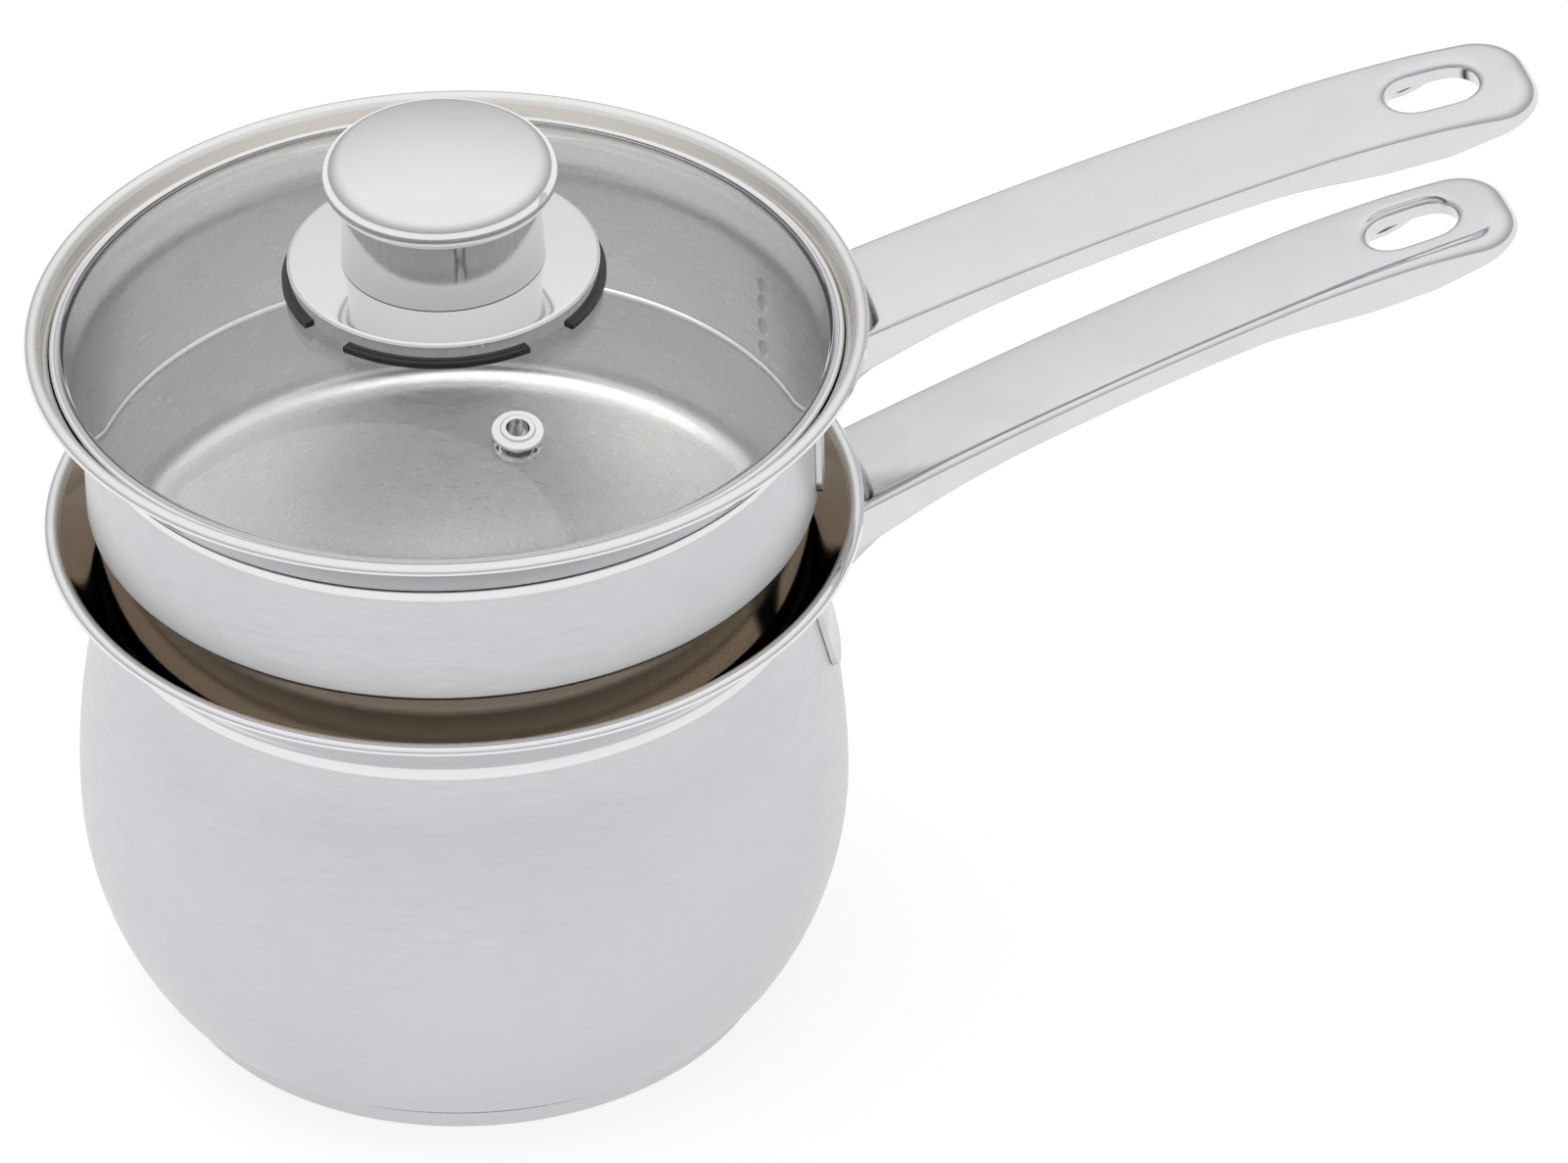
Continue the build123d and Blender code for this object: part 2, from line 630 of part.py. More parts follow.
def arm():
    """Strip of the bracket that lies on the lips and bows down to the wall at its root."""
    lift = handle_sheet + seat_gap
    rest, end = belly_points(lift)[1:3]
    sweep = ThreePointArc((0, -handle_root_depth - arm_dip), rest, end)
    lead = Line(sweep @ 0 - (sweep % 0) * overrun, sweep @ 0)
    strip = make_face(offset(Wire([lead.edge(), sweep.edge()]), arm_sheet, side=Side.LEFT))
    return from_side(strip, handle_root_width) & from_above(plan_face(handle_sheet + lift_gap, 2 * overrun))


def set_at_wall(body, rim_height, pitch, turn=0.0, roll=0.0):
    """A piece of the pressing's frame set at a pan's wall below the rim."""
    root = Rot(0, 0, turn) * Pos(handle_seat_radius, 0, rim_height - handle_drop)
    return root * Rot(0, -pitch, 0) * Rot(roll, 0, 0) * body


def on_pot(body):
    """A piece of the pressing's frame set at the pot's wall."""
    return set_at_wall(body, pot_rim_height, pot_handle_pitch)


def on_pan(body):
    """A piece of the pressing's frame set at the insert's wall."""
    return set_at_wall(body, pan_rim_height, pan_handle_pitch, pan_handle_turn, pan_handle_roll_turn)


def foot(line, rim_height, turn):
    """Plate of the bracket that hugs the wall, with rounded corners."""
    reach = 2 * handle_seat_radius
    middle = rim_height - foot_drop - foot_height / 2
    skin = make_face(offset(line, seat_gap + foot_sheet, side=Side.RIGHT))
    skin -= make_face(offset(line, seat_gap, side=Side.RIGHT))
    strip = skin & Pos(reach / 2, middle) * Rectangle(reach, foot_height)
    outline = RectangleRounded(foot_width, foot_height, foot_corner)
    window = Rot(0, 0, turn) * Pos(0, 0, middle) * extrude(Plane.YZ * outline, reach)
    return turned(make_face([free_curve(edge) for edge in strip.edges()])) & window


def trimmed(body, line, grow):
    """A body cut back to stand off a pan's wall by a gap."""
    return body - filled(line) - spun(line, grow, Side.RIGHT)


def pot_handle():
    """Handle of the pot."""
    return trimmed(on_pot(handle_pressing()), pot_line("flare"), foot_sheet + 2 * seat_gap)


def pan_handle():
    """Handle of the insert."""
    return trimmed(on_pan(handle_pressing()), pan_line("flare"), foot_sheet + 2 * seat_gap)


def pot_bracket():
    """Bracket welded to the pot's shoulder."""
    line = pot_line("wall")
    strip = trimmed(on_pot(arm()), line, seat_gap + foot_sheet / 2)
    return strip + foot(line, pot_rim_height, 0)


def pan_bracket():
    """Bracket welded to the insert's wall."""
    line = pan_line("wall")
    strip = trimmed(on_pan(arm()), line, seat_gap + foot_sheet / 2)
    return strip + foot(line, pan_rim_height, pan_handle_turn)


nodes = {
    "pot_shell": pot_shell, "base_core": base_core, "base_cap": base_cap,
    "pot_handle": pot_handle, "pot_handle_bracket": pot_bracket,
    "pan_shell": pan_shell, "pan_handle": pan_handle, "pan_handle_bracket": pan_bracket,
    "lid_glass": lid_glass, "lid_band": lid_band,
    "vent_eyelet": vent_eyelet, "vent_washer": vent_washer_ring,
    "knob_cap": knob_cap, "knob_neck": knob_neck, "knob_base_plate": knob_base_plate,
    "knob_spacer": knob_spacer, "knob_core": knob_core, "knob_nut": knob_nut,
    "knob_screw": knob_screw, "screw_washer": screw_washer, "screw_seal": screw_seal,
}

os.makedirs("parts", exist_ok=True)
for name, maker in nodes.items():
    export_step(maker(), f"parts/{name}.step")
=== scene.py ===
from math import asin, atan, atan2, ceil, cos, pi, radians, sin, sqrt, tan

import bmesh
import bpy
from bpy.props import FloatProperty, FloatVectorProperty, PointerProperty
from mathutils import Matrix, Vector


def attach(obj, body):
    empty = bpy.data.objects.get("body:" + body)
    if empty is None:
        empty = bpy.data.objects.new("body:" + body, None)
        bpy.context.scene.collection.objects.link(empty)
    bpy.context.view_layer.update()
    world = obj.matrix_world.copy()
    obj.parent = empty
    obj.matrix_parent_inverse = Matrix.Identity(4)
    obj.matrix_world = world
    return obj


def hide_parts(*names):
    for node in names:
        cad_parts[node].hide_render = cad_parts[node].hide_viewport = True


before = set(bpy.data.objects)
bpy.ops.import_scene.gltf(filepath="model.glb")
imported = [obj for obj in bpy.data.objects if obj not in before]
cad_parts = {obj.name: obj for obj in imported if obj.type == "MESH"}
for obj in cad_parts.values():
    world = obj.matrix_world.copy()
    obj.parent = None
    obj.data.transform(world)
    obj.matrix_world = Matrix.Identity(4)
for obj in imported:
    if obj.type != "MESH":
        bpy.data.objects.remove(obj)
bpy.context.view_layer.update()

bl_info = {
    "name": "Double Boiler",
    "version": (1, 0, 0),
    "blender": (4, 5, 0),
    "location": "View3D > Sidebar > Boiler",
    "description": "Dresses the packed double boiler: pot, insert pan, glass lid, knob and handles",
    "category": "Object",
}

TURN_STEPS = 192
FINE_TURN_STEPS = 256
MM = 0.001
CLEARANCE = 0.1 * MM                            # between pieces that lie on one another
WELD_HEIGHTS = (148.1, 143.7, 137.6, 131.9)     # millimetres above the table
BACK_FOLDS = ((0, 2.4), (0.12, 2.2), (0.4, 1.7), (0.7, 1.9), (0.86, 2.8), (0.95, 4.2), (1, 4.5))
FIT_REACH = 16 * MM                             # length of the root that follows the wall
CAMERA_TARGET = Vector((0.07006, -0.01747, 0.0983))
CAMERA_DISTANCE = 2.5
CAMERA_LENS = 259.7
CAMERA_TURNS = (-14, 36.01, -1.21)              # azimuth, elevation and roll in degrees
FLOOR_REACH = 6.0


# ---------------------------------------------------------------- sizes and colours

def length(name, description, default):
    """Length in metres, given in millimetres."""
    return FloatProperty(name=name, description=description, default=default * MM,
                         unit="LENGTH", subtype="DISTANCE", precision=5)


def angle(name, description, default):
    """Angle in radians, given in degrees."""
    return FloatProperty(name=name, description=description, default=radians(default),
                         unit="ROTATION", subtype="ANGLE")


def share(name, description, default):
    """Plain number from 0 to 1."""
    return FloatProperty(name=name, description=description, default=default,
                         min=0, max=1, subtype="FACTOR")


def colour(name, description, default):
    """Surface colour."""
    return FloatVectorProperty(name=name, description=description, default=default,
                               size=3, min=0, max=1, subtype="COLOR")


class PotSizes(bpy.types.PropertyGroup):
    rim_radius: length("Rim radius", "Widest part of the rolled rim", 90.3)
    rim_height: length("Rim height", "Top of the rim above the table", 121.4)
    neck_radius: length("Neck radius", "Outside of the neck that carries the insert", 78.7)
    belly_radius: length("Belly radius", "Widest ring of the side", 85.8)
    belly_height: length("Belly height", "Height of the widest ring", 49.7)
    side_bow: length("Side bow", "Radius of the side below the widest ring", 75)
    corner_bow: length("Corner bow", "Radius of the corner above the base", 12)
    shoulder_bow: length("Shoulder bow", "Radius of the side above the widest ring", 176)
    throat_height: length("Throat height",
                          "Where the neck would be narrowest without its flare", 109.3)
    flare_turn: angle("Flare turn", "How far the flare leans outward", 34)
    base_thickness: length("Base thickness", "Table to the underside of the floor", 5.2)
    cap_radius: length("Cap radius", "Steel cup of the sandwich base", 69)
    cap_sheet: length("Cap sheet", "Gauge of that cup", 0.6)
    cap_bow: length("Cap bow", "Radius of its lower edge", 2.6)
    cap_wall: length("Cap wall", "Height of its turned-up wall", 5)
    polish_line: length("Polish line", "Height above which the rim is polished", 104.4)


class PanSizes(bpy.types.PropertyGroup):
    sheet: length("Sheet", "Gauge of both pans", 0.7)
    curl_bow: length("Curl bow", "Inner radius of the rim's curl", 1)
    flare_bow: length("Flare bow", "Radius with which a flare leaves its wall", 8)
    lip: length("Lip", "Height of the bright rolled lip of a rim", 2.2)
    rim_radius: length("Rim radius", "Widest part of the insert's rim", 92)
    rim_height: length("Rim height", "Top of the insert's rim above the table", 170.1)
    wall_radius: length("Wall radius", "Outside of the straight wall", 80.4)
    flare_turn: angle("Flare turn", "How far the flare leans outward", 34)
    step_height: length("Step height", "Lower edge of the straight wall", 128)
    step_bow: length("Step bow", "Radius of both bends of the step", 0.9)
    step_turn: angle("Step turn", "How far each bend of the step goes", 62)
    floor_height: length("Floor height", "Underside of the insert's floor", 102.3)
    corner_bow: length("Corner bow", "Radius of the insert's lower corner", 6)
    play: length("Play", "Gap between the seat and the pot's neck", 0.3)
    polish_line: length("Polish line", "Height above which the rim is polished", 153.1)
    weld_radius: length("Weld radius", "Round marks of the spot welds inside the wall", 2.1)
    weld_turn: angle("Weld turn", "From the handle to a column of weld marks", 17.8)


class LidSizes(bpy.types.PropertyGroup):
    top: length("Glass top", "Top of the glass above the table", 183.4)
    bow: length("Glass bow", "Radius of the dome", 228)
    thickness: length("Glass thickness", "Gauge of the glass", 3.5)
    radius: length("Glass radius", "Ground edge of the glass", 84.4)
    edge_bow: length("Edge bow", "Radius of the ground edge", 0.8)
    bore: length("Bore", "Diameter of the hole for the screw", 7)
    band_inner: length("Band inner radius",
                       "Where the steel band's lower edge ends on the glass", 82.6)
    band_sheet: length("Band sheet", "Gauge of the band", 0.6)
    bead_bow: length("Bead bow", "Radius of the bead that rests on the insert", 0.7)
    bead_reach: length("Bead reach", "Outside of the bead", 86.55)
    vent_place: length("Vent place", "Steam vent from the common axis", 54.4)
    vent_turn: angle("Vent turn", "Steam vent from the pot's handle", -86.8)
    vent_bore: length("Vent bore", "Diameter of the steam hole", 4.8)
    vent_ring: length("Vent ring", "Diameter of the raised ring", 7.5)
    vent_ring_height: length("Vent ring height", "Height of the raised ring", 1.7)
    vent_flange: length("Vent flange", "Diameter of the flange", 11.4)
    vent_fold: length("Vent fold", "Radius of the eyelet's edges", 0.4)


class KnobSizes(bpy.types.PropertyGroup):
    sheet: length("Sheet", "Gauge of the knob's steel", 0.6)
    top: length("Top", "Top of the knob above the table", 215.5)
    cap_radius: length("Cap radius", "Widest ring of the cap", 25.4)
    cap_bow: length("Cap bow", "Radius of the cap's dome", 130)
    cap_roll: length("Cap roll", "Radius of the cap's upper edge", 5.1)
    cap_undercut_turn: angle("Undercut turn", "How far the edge turns in", 70)
    neck_radius: length("Neck radius", "Outside of the neck", 22.3)
    neck_waist: length("Neck waist", "How far the neck draws in", 0.5)
    neck_foot: length("Neck foot", "Foot of the neck above the table", 188.1)
    plate_radius: length("Plate radius", "Edge of the base plate", 34)
    plate_roll: length("Plate roll", "Radius of the plate's turned-down edge", 0.9)
    plate_fall: length("Plate fall", "Drop of the plate towards its edge", 0.5)
    lobe_top: length("Lobe top", "Top of the heat spacer's lobes above the table", 183.3)


class HandleSizes(bpy.types.PropertyGroup):
    length: length("Length", "From the wall to the tip", 168)
    seat_radius: length("Seat radius", "Where the chord meets the wall", 80.6)
    root_width: length("Root width", "Width at the wall", 30.6)
    waist_width: length("Waist width", "Width at the waist", 28.2)
    waist_share: share("Waist share", "Place of the waist along the handle", 0.55)
    palm_width: length("Palm width", "Width at the palm", 28.8)
    tip_bow: length("Tip bow", "Radius of the tip's corners", 11.5)
    tip_swell: length("Tip swell", "How far the tip's end bulges", 1.8)
    sheet: length("Sheet", "Gauge of the pressing", 1.2)
    lip: length("Lip", "Width of the turned-in lips", 3.4)
    drop: length("Drop", "From the rim down to the top of the root", 11)
    pot_pitch: angle("Pot pitch", "Rise of the pot's handle", 16.6)
    pan_pitch: angle("Insert pitch", "Rise of the insert's handle", 12.4)
    pan_turn: angle("Insert turn", "From the pot's handle to the insert's", -1.0)
    pan_roll: angle("Insert roll", "Lean of the insert's handle", 3.0)
    arch: length("Arch", "Rise of the back over its chord", 4.6)
    half_arch: length("Half arch", "Rise halfway to the arch's top", 3.7)
    arch_share: share("Arch share", "Place where the back's arcs meet", 0.68)
    crown: length("Crown", "Rise of the back across its width", 0.45)
    root_depth: length("Root depth", "Depth of the channel at the wall", 12.7)
    throat_depth: length("Throat depth", "Depth where the lips begin", 8.2)
    grip_depth: length("Grip depth", "Depth along the grip", 6.7)
    palm_depth: length("Palm depth", "Depth at the palm", 9.7)
    tip_depth: length("Tip depth", "Depth of the tip below the chord", 4.6)
    hole_length: length("Hole length", "Hanging hole along the handle", 21)
    hole_width: length("Hole width", "Hanging hole across the handle", 13.6)
    tip_land: length("Tip land", "From the tip to the hole", 12)
    collar: length("Collar", "Depth of the hole's turned-down edge", 4.6)
    hole_fold: length("Hole fold", "Radius of the hole's edge", 2)
    standoff: length("Stand-off", "From the wall's skin to the root", 1.4)


class Finishes(bpy.types.PropertyGroup):
    satin: colour("Satin steel", "Colour of the brushed pans", (0.64, 0.645, 0.665))
    satin_roughness: share("Satin roughness", "Roughness of the brushed pans", 0.38)
    inner: colour("Inner steel", "Colour of the bright insides", (0.80, 0.80, 0.785))
    inner_roughness: share("Inner roughness", "Roughness of the bright insides", 0.29)
    # Painted shade: a darker brownish steel that stands in for the shade in the gap between the pans, on
    # the seat and the inside of the flares.
    flare: colour("Painted shade steel",
                  "Colour of the seat and the inside of the flares", (0.66, 0.62, 0.57))
    polished: colour("Polished steel", "Colour of rims and knob", (0.77, 0.77, 0.78))
    polished_roughness: share("Polish roughness", "Roughness of rims and knob", 0.07)
    handle: colour("Handle steel", "Colour of the bright handles", (0.69, 0.695, 0.71))
    handle_roughness: share("Handle roughness", "Roughness of the handles", 0.12)
    bracket: colour("Bracket steel", "Colour of the brackets", (0.62, 0.61, 0.60))
    glass: colour("Glass", "Tint of the tempered glass", (0.985, 0.995, 0.99))
    plastic: colour("Black plastic", "Colour of the heat spacer", (0.012, 0.012, 0.013))
    silicone: colour("Silicone", "Colour of the seal", (0.72, 0.71, 0.69))
    aluminium: colour("Aluminium", "Colour of the core of the base", (0.70, 0.70, 0.71))
    brass: colour("Brass", "Colour of the threaded insert", (0.76, 0.58, 0.28))
    floor: colour("Floor", "Colour of the floor", (0.72, 0.72, 0.72))


# ---------------------------------------------------------------- mesh tools

class Outline:
    """Half section drawn with straight runs and tangent arcs; x is the radius and y the height."""

    def __init__(self, start, heading=0.0):
        self.points = [Vector(start)]
        self.headings = [heading]

    def run_to(self, end):
        start = self.points[-1]
        reach = Vector(end) - start
        heading = atan2(reach.y, reach.x)
        edge = min(MM, reach.length / 3) / reach.length
        for place in (edge, 0.5, 1 - edge, 1):
            self.points.append(start + reach * place)
            self.headings.append(heading)
        return self

    def bend(self, bow, turn):
        heading = self.headings[-1]
        side = 1 if turn > 0 else -1
        middle = self.points[-1] + Vector((-sin(heading), cos(heading))) * bow * side
        steps = max(ceil(abs(turn) / radians(6)), ceil(abs(turn) * bow / 0.005), 3)
        for step in range(1, steps + 1):
            now = heading + turn * step / steps
            self.points.append(middle - Vector((-sin(now), cos(now))) * bow * side)
            self.headings.append(now)
        return self

    def skin(self, distance):
        """The same line moved to its left."""
        return [point + Vector((-sin(now), cos(now))) * distance
                for point, now in zip(self.points, self.headings)]

    def wall(self, gauge):
        """Closed section of a sheet whose one skin is the line."""
        return self.points + self.skin(gauge)[::-1]

    def radius_at(self, height):
        """Widest radius of the line at a height."""
        found = [a.x + (b.x - a.x) * (height - a.y) / (b.y - a.y)
                 for a, b in zip(self.points, self.points[1:])
                 if min(a.y, b.y) <= height <= max(a.y, b.y) and a.y != b.y]
        return max(found)


def rounded(corners):
    """Closed section from corners (radius, height, bow), each corner rounded with its bow."""
    section = []
    neighbours = zip(corners[-1:] + corners[:-1], corners, corners[1:] + corners[:1])
    for before, corner, after in neighbours:
        here = Vector(corner[:2])
        back = (Vector(before[:2]) - here).normalized()
        ahead = (Vector(after[:2]) - here).normalized()
        if not corner[2]:
            section.append(here)
            continue
        half = back.angle(ahead) / 2
        bow = corner[2]
        middle = here + (back + ahead).normalized() * bow / sin(half)
        first = here + back * bow / tan(half) - middle
        turn = first.angle_signed(here + ahead * bow / tan(half) - middle)
        steps = max(3, ceil(abs(turn) / radians(12)))
        for step in range(steps + 1):
            now = -turn * step / steps
            section.append(middle + Matrix.Rotation(now, 2) @ first)
    return section


def make_piece(name, points, faces, material, sharp=35):
    """Mesh object with smooth shading that breaks at sharp edges."""
    mesh = bpy.data.meshes.new(name)
    mesh.from_pydata([tuple(point) for point in points], [], faces)
    form = bmesh.new()
    form.from_mesh(mesh)
    bmesh.ops.remove_doubles(form, verts=form.verts, dist=1e-6)
    bmesh.ops.dissolve_degenerate(form, edges=form.edges, dist=1e-7)
    bmesh.ops.recalc_face_normals(form, faces=form.faces)
    form.to_mesh(mesh)
    form.free()
    mesh.shade_smooth()
    mesh.set_sharp_from_angle(angle=radians(sharp))
    mesh.materials.append(material)
    piece = bpy.data.objects.new(name, mesh)
    bpy.context.scene.collection.objects.link(piece)
    return piece


def turned(name, section, material, steps=TURN_STEPS, place=None, sharp=35):
    """Piece turned about the common axis, or about the Z of a place."""
    place = place or Matrix.Identity(4)
    points, rings = [], []
    for corner in section:
        around = steps if corner.x > 1e-7 else 1
        rings.append(range(len(points), len(points) + around))
        for step in range(around):
            turn = 2 * pi * step / steps
            points.append(place @ Vector((corner.x * cos(turn), corner.x * sin(turn), corner.y)))
    faces = []
    for low, high in zip(rings, rings[1:] + rings[:1]):
        if len(low) == len(high) == 1:
            continue
        for step in range(steps):
            after = (step + 1) % steps
            corners = [low[step % len(low)], low[after % len(low)],
                       high[after % len(high)], high[step % len(high)]]
            faces.append(list(dict.fromkeys(corners)))
    return make_piece(name, points, faces, material, sharp)


def finished(piece, body, slot, *nodes):
    """Piece set on its body, with the nodes that it stands for hidden; the slot is not used."""
    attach(piece, body)
    if nodes:
        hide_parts(*nodes)
    return piece


def dressed(node, material):
    """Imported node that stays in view, in a finish of its own."""
    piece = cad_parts[node]
    piece.data.materials.clear()
    piece.data.materials.append(material)


# ---------------------------------------------------------------- shader tools

class Graph:
    """Short hand for a node tree."""

    def __init__(self, tree):
        self.tree = tree

    def add(self, kind, *inputs, **settings):
        node = self.tree.nodes.new(kind)
        for name, value in settings.items():
            setattr(node, name, value)
        for socket, value in inputs:
            self.set(node.inputs[socket], value)
        return node

    def set(self, socket, value):
        if isinstance(value, bpy.types.NodeSocket):
            self.tree.links.new(value, socket)
        else:
            socket.default_value = value

    def math(self, operation, first, second=0.0):
        return self.add("ShaderNodeMath", (0, first), (1, second), operation=operation).outputs[0]

    def ramp(self, value, low, high, first=0.0, last=1.0, smooth=True):
        """Value carried from the range low to high to the range first to last."""
        kind = "SMOOTHSTEP" if smooth else "LINEAR"
        node = self.add("ShaderNodeMapRange", ("Value", value),
                        ("From Min", low), ("From Max", high),
                        ("To Min", first), ("To Max", last), interpolation_type=kind)
        return node.outputs["Result"]

    def blend(self, mask, first, second):
        """Colour between two colours."""
        node = self.add("ShaderNodeMix", data_type="RGBA")
        self.set(node.inputs["Factor"], mask)
        self.set(node.inputs[6], first)
        self.set(node.inputs[7], second)
        return node.outputs[2]

    def group(self, tree, **inputs):
        node = self.tree.nodes.new("ShaderNodeGroup")
        node.node_tree = tree
        for name, value in inputs.items():
            self.set(node.inputs[name.replace("_", " ")], value)
        return node.outputs


def new_group(name, inputs, outputs):
    """Empty shader group with named sockets, and its graph."""
    tree = bpy.data.node_groups.new(name, "ShaderNodeTree")
    for name, value in inputs.items():
        socket = tree.interface.new_socket(name, in_out="INPUT", socket_type="NodeSocketFloat")
        socket.default_value = value
    for socket in outputs:
        tree.interface.new_socket(socket, in_out="OUTPUT", socket_type="NodeSocketFloat")
    graph = Graph(tree)
    return tree, graph, graph.add("NodeGroupInput").outputs, graph.add("NodeGroupOutput").inputs


def turning_grain():
    """Fine lines round the common axis, and the slow unevenness of hand polishing."""
    tree, graph, given, result = new_group(
        "Turning grain", {"Lines": 900.0, "Patches": 22.0}, ("Grain", "Cloud"))
    place = graph.add("ShaderNodeTexCoord").outputs["Object"]
    x, y, z = graph.add("ShaderNodeSeparateXYZ", (0, place)).outputs
    squares = graph.math("ADD", graph.math("MULTIPLY", x, x), graph.math("MULTIPLY", y, y))
    radius = graph.math("SQRT", squares)
    turn = graph.math("ARCTAN2", y, x)
    across = graph.add("ShaderNodeCombineXYZ", (0, graph.math("MULTIPLY", turn, 0.012)),
                       (1, radius), (2, z)).outputs[0]
    lines = graph.add("ShaderNodeTexNoise", ("Vector", across), ("Scale", given["Lines"]),
                      ("Detail", 3.0), ("Roughness", 0.6))
    cloud = graph.add("ShaderNodeTexNoise", ("Vector", place), ("Scale", given["Patches"]),
                      ("Detail", 2.0), ("Roughness", 0.5))
    graph.set(result["Grain"], lines.outputs[0])
    graph.set(result["Cloud"], cloud.outputs[0])
    return tree


def polish_step():
    """Mask that is 1 above a height, and a thin line where the polishing stops."""
    tree, graph, given, result = new_group(
        "Polish step", {"Height": 0.1, "Softness": 0.0006}, ("Above", "Line"))
    place = graph.add("ShaderNodeTexCoord").outputs["Object"]
    height = graph.add("ShaderNodeSeparateXYZ", (0, place)).outputs[2]
    away = graph.math("SUBTRACT", height, given["Height"])
    scaled = graph.math("DIVIDE", away, given["Softness"])
    graph.set(result["Above"], graph.ramp(scaled, -1.0, 1.0))
    graph.set(result["Line"], graph.ramp(graph.math("ABSOLUTE", scaled), 0.0, 1.0, 1.0, 0.0))
    return tree


def hand_marks():
    """Faint smears and fine wiping scratches on bright metal and moulded plastic."""
    tree, graph, given, result = new_group(
        "Hand marks", {"Smears": 45.0, "Scratches": 500.0}, ("Smear", "Scratch"))
    place = graph.add("ShaderNodeTexCoord").outputs["Object"]
    smear = graph.add("ShaderNodeTexNoise", ("Vector", place), ("Scale", given["Smears"]),
                      ("Detail", 4.0), ("Roughness", 0.55), ("Distortion", 0.6))
    long_way = graph.add("ShaderNodeMapping", ("Vector", place), ("Scale", (0.08, 1.0, 1.0)))
    scratch = graph.add("ShaderNodeTexNoise", ("Vector", long_way.outputs[0]),
                        ("Scale", given["Scratches"]), ("Detail", 2.0))
    graph.set(result["Smear"], graph.ramp(smear.outputs[0], 0.35, 0.75))
    graph.set(result["Scratch"], scratch.outputs[0])
    return tree


def steel(name, tint, roughness, groups, lines=900.0, depth=0.05, brushed=0.0, polish=None):
    """Steel with turning lines; above the polish height it is bright."""
    material = bpy.data.materials.new(name)
    material.use_nodes = True
    graph = Graph(material.node_tree)
    shader = material.node_tree.nodes["Principled BSDF"]
    looks = bpy.context.scene.boiler_finishes
    grain = graph.group(groups["grain"], Lines=lines)
    soft = graph.ramp(grain["Grain"], 0.3, 0.7, roughness * 0.88, roughness * 1.12, False)
    cloud = graph.ramp(grain["Cloud"], 0.35, 0.65, 0.985, 1.015)
    shine = graph.math("MULTIPLY", soft, cloud)
    base = (*tint, 1)
    dark = (*[part * 0.985 for part in tint], 1)
    paint = graph.blend(graph.ramp(grain["Cloud"], 0.3, 0.7), base, dark)
    if polish is not None:
        step = graph.group(groups["polish"], Height=polish)
        bright = looks.polished_roughness
        change = graph.math("MULTIPLY", graph.math("SUBTRACT", bright, shine), step["Above"])
        shine = graph.math("ADD", shine, change)
        paint = graph.blend(step["Above"], paint, (*looks.polished, 1))
        line = graph.math("MULTIPLY", step["Line"], 0.35)
        paint = graph.blend(line, paint, (0.35, 0.34, 0.33, 1))
    graph.set(shader.inputs["Base Color"], paint)
    graph.set(shader.inputs["Roughness"], shine)
    shader.inputs["Metallic"].default_value = 1
    if brushed:
        shader.inputs["Anisotropic"].default_value = brushed
        shader.inputs["Anisotropic Rotation"].default_value = 0.25
        tangent = graph.add("ShaderNodeTangent", direction_type="RADIAL", axis="Z")
        graph.set(shader.inputs["Tangent"], tangent.outputs[0])
    bump = graph.add("ShaderNodeBump", ("Strength", depth), ("Distance", 0.00005),
                     ("Height", grain["Grain"]))
    graph.set(shader.inputs["Normal"], bump.outputs[0])
    return material


def bright_steel(name, tint, roughness, groups):
    """Mirror-polished steel with faint hand marks."""
    material = bpy.data.materials.new(name)
    material.use_nodes = True
    graph = Graph(material.node_tree)
    shader = material.node_tree.nodes["Principled BSDF"]
    marks = graph.group(groups["marks"])
    paint = graph.blend(marks["Smear"], (*tint, 1), (*[part * 0.97 for part in tint], 1))
    graph.set(shader.inputs["Base Color"], paint)
    shine = graph.ramp(marks["Smear"], 0, 1, roughness, roughness * 1.6)
    graph.set(shader.inputs["Roughness"], shine)
    shader.inputs["Metallic"].default_value = 1
    bump = graph.add("ShaderNodeBump", ("Strength", 0.02), ("Distance", 0.00003),
                     ("Height", marks["Scratch"]))
    graph.set(shader.inputs["Normal"], bump.outputs[0])
    return material


def moulded(name, tint, roughness, groups, metallic=0.0):
    """Moulded or cast stuff with a fine texture."""
    material = bpy.data.materials.new(name)
    material.use_nodes = True
    graph = Graph(material.node_tree)
    shader = material.node_tree.nodes["Principled BSDF"]
    marks = graph.group(groups["marks"], Smears=120.0, Scratches=1800.0)
    lighter = (*[min(1, part * 1.25 + 0.004) for part in tint], 1)
    graph.set(shader.inputs["Base Color"], graph.blend(marks["Smear"], (*tint, 1), lighter))
    shine = graph.ramp(marks["Smear"], 0, 1, roughness, roughness * 1.2)
    graph.set(shader.inputs["Roughness"], shine)
    shader.inputs["Metallic"].default_value = metallic
    bump = graph.add("ShaderNodeBump", ("Strength", 0.15), ("Distance", 0.00005),
                     ("Height", marks["Scratch"]))
    graph.set(shader.inputs["Normal"], bump.outputs[0])
    return material


def clear_glass(name, tint, groups):
    """Tempered glass, faintly green, with a trace of wiping marks."""
    material = bpy.data.materials.new(name)
    material.use_nodes = True
    graph = Graph(material.node_tree)
    shader = material.node_tree.nodes["Principled BSDF"]
    marks = graph.group(groups["marks"], Smears=30.0)
    paint = graph.blend(marks["Smear"], (*tint, 1), (*[part * 0.99 for part in tint], 1))
    graph.set(shader.inputs["Base Color"], paint)
    graph.set(shader.inputs["Roughness"], graph.ramp(marks["Smear"], 0, 1, 0.0, 0.012))
    shader.inputs["Transmission Weight"].default_value = 1
    shader.inputs["Metallic"].default_value = 0
    shader.inputs["IOR"].default_value = 1.5
    return material


def material(name):
    """Finish by name."""
    return bpy.data.materials[name]


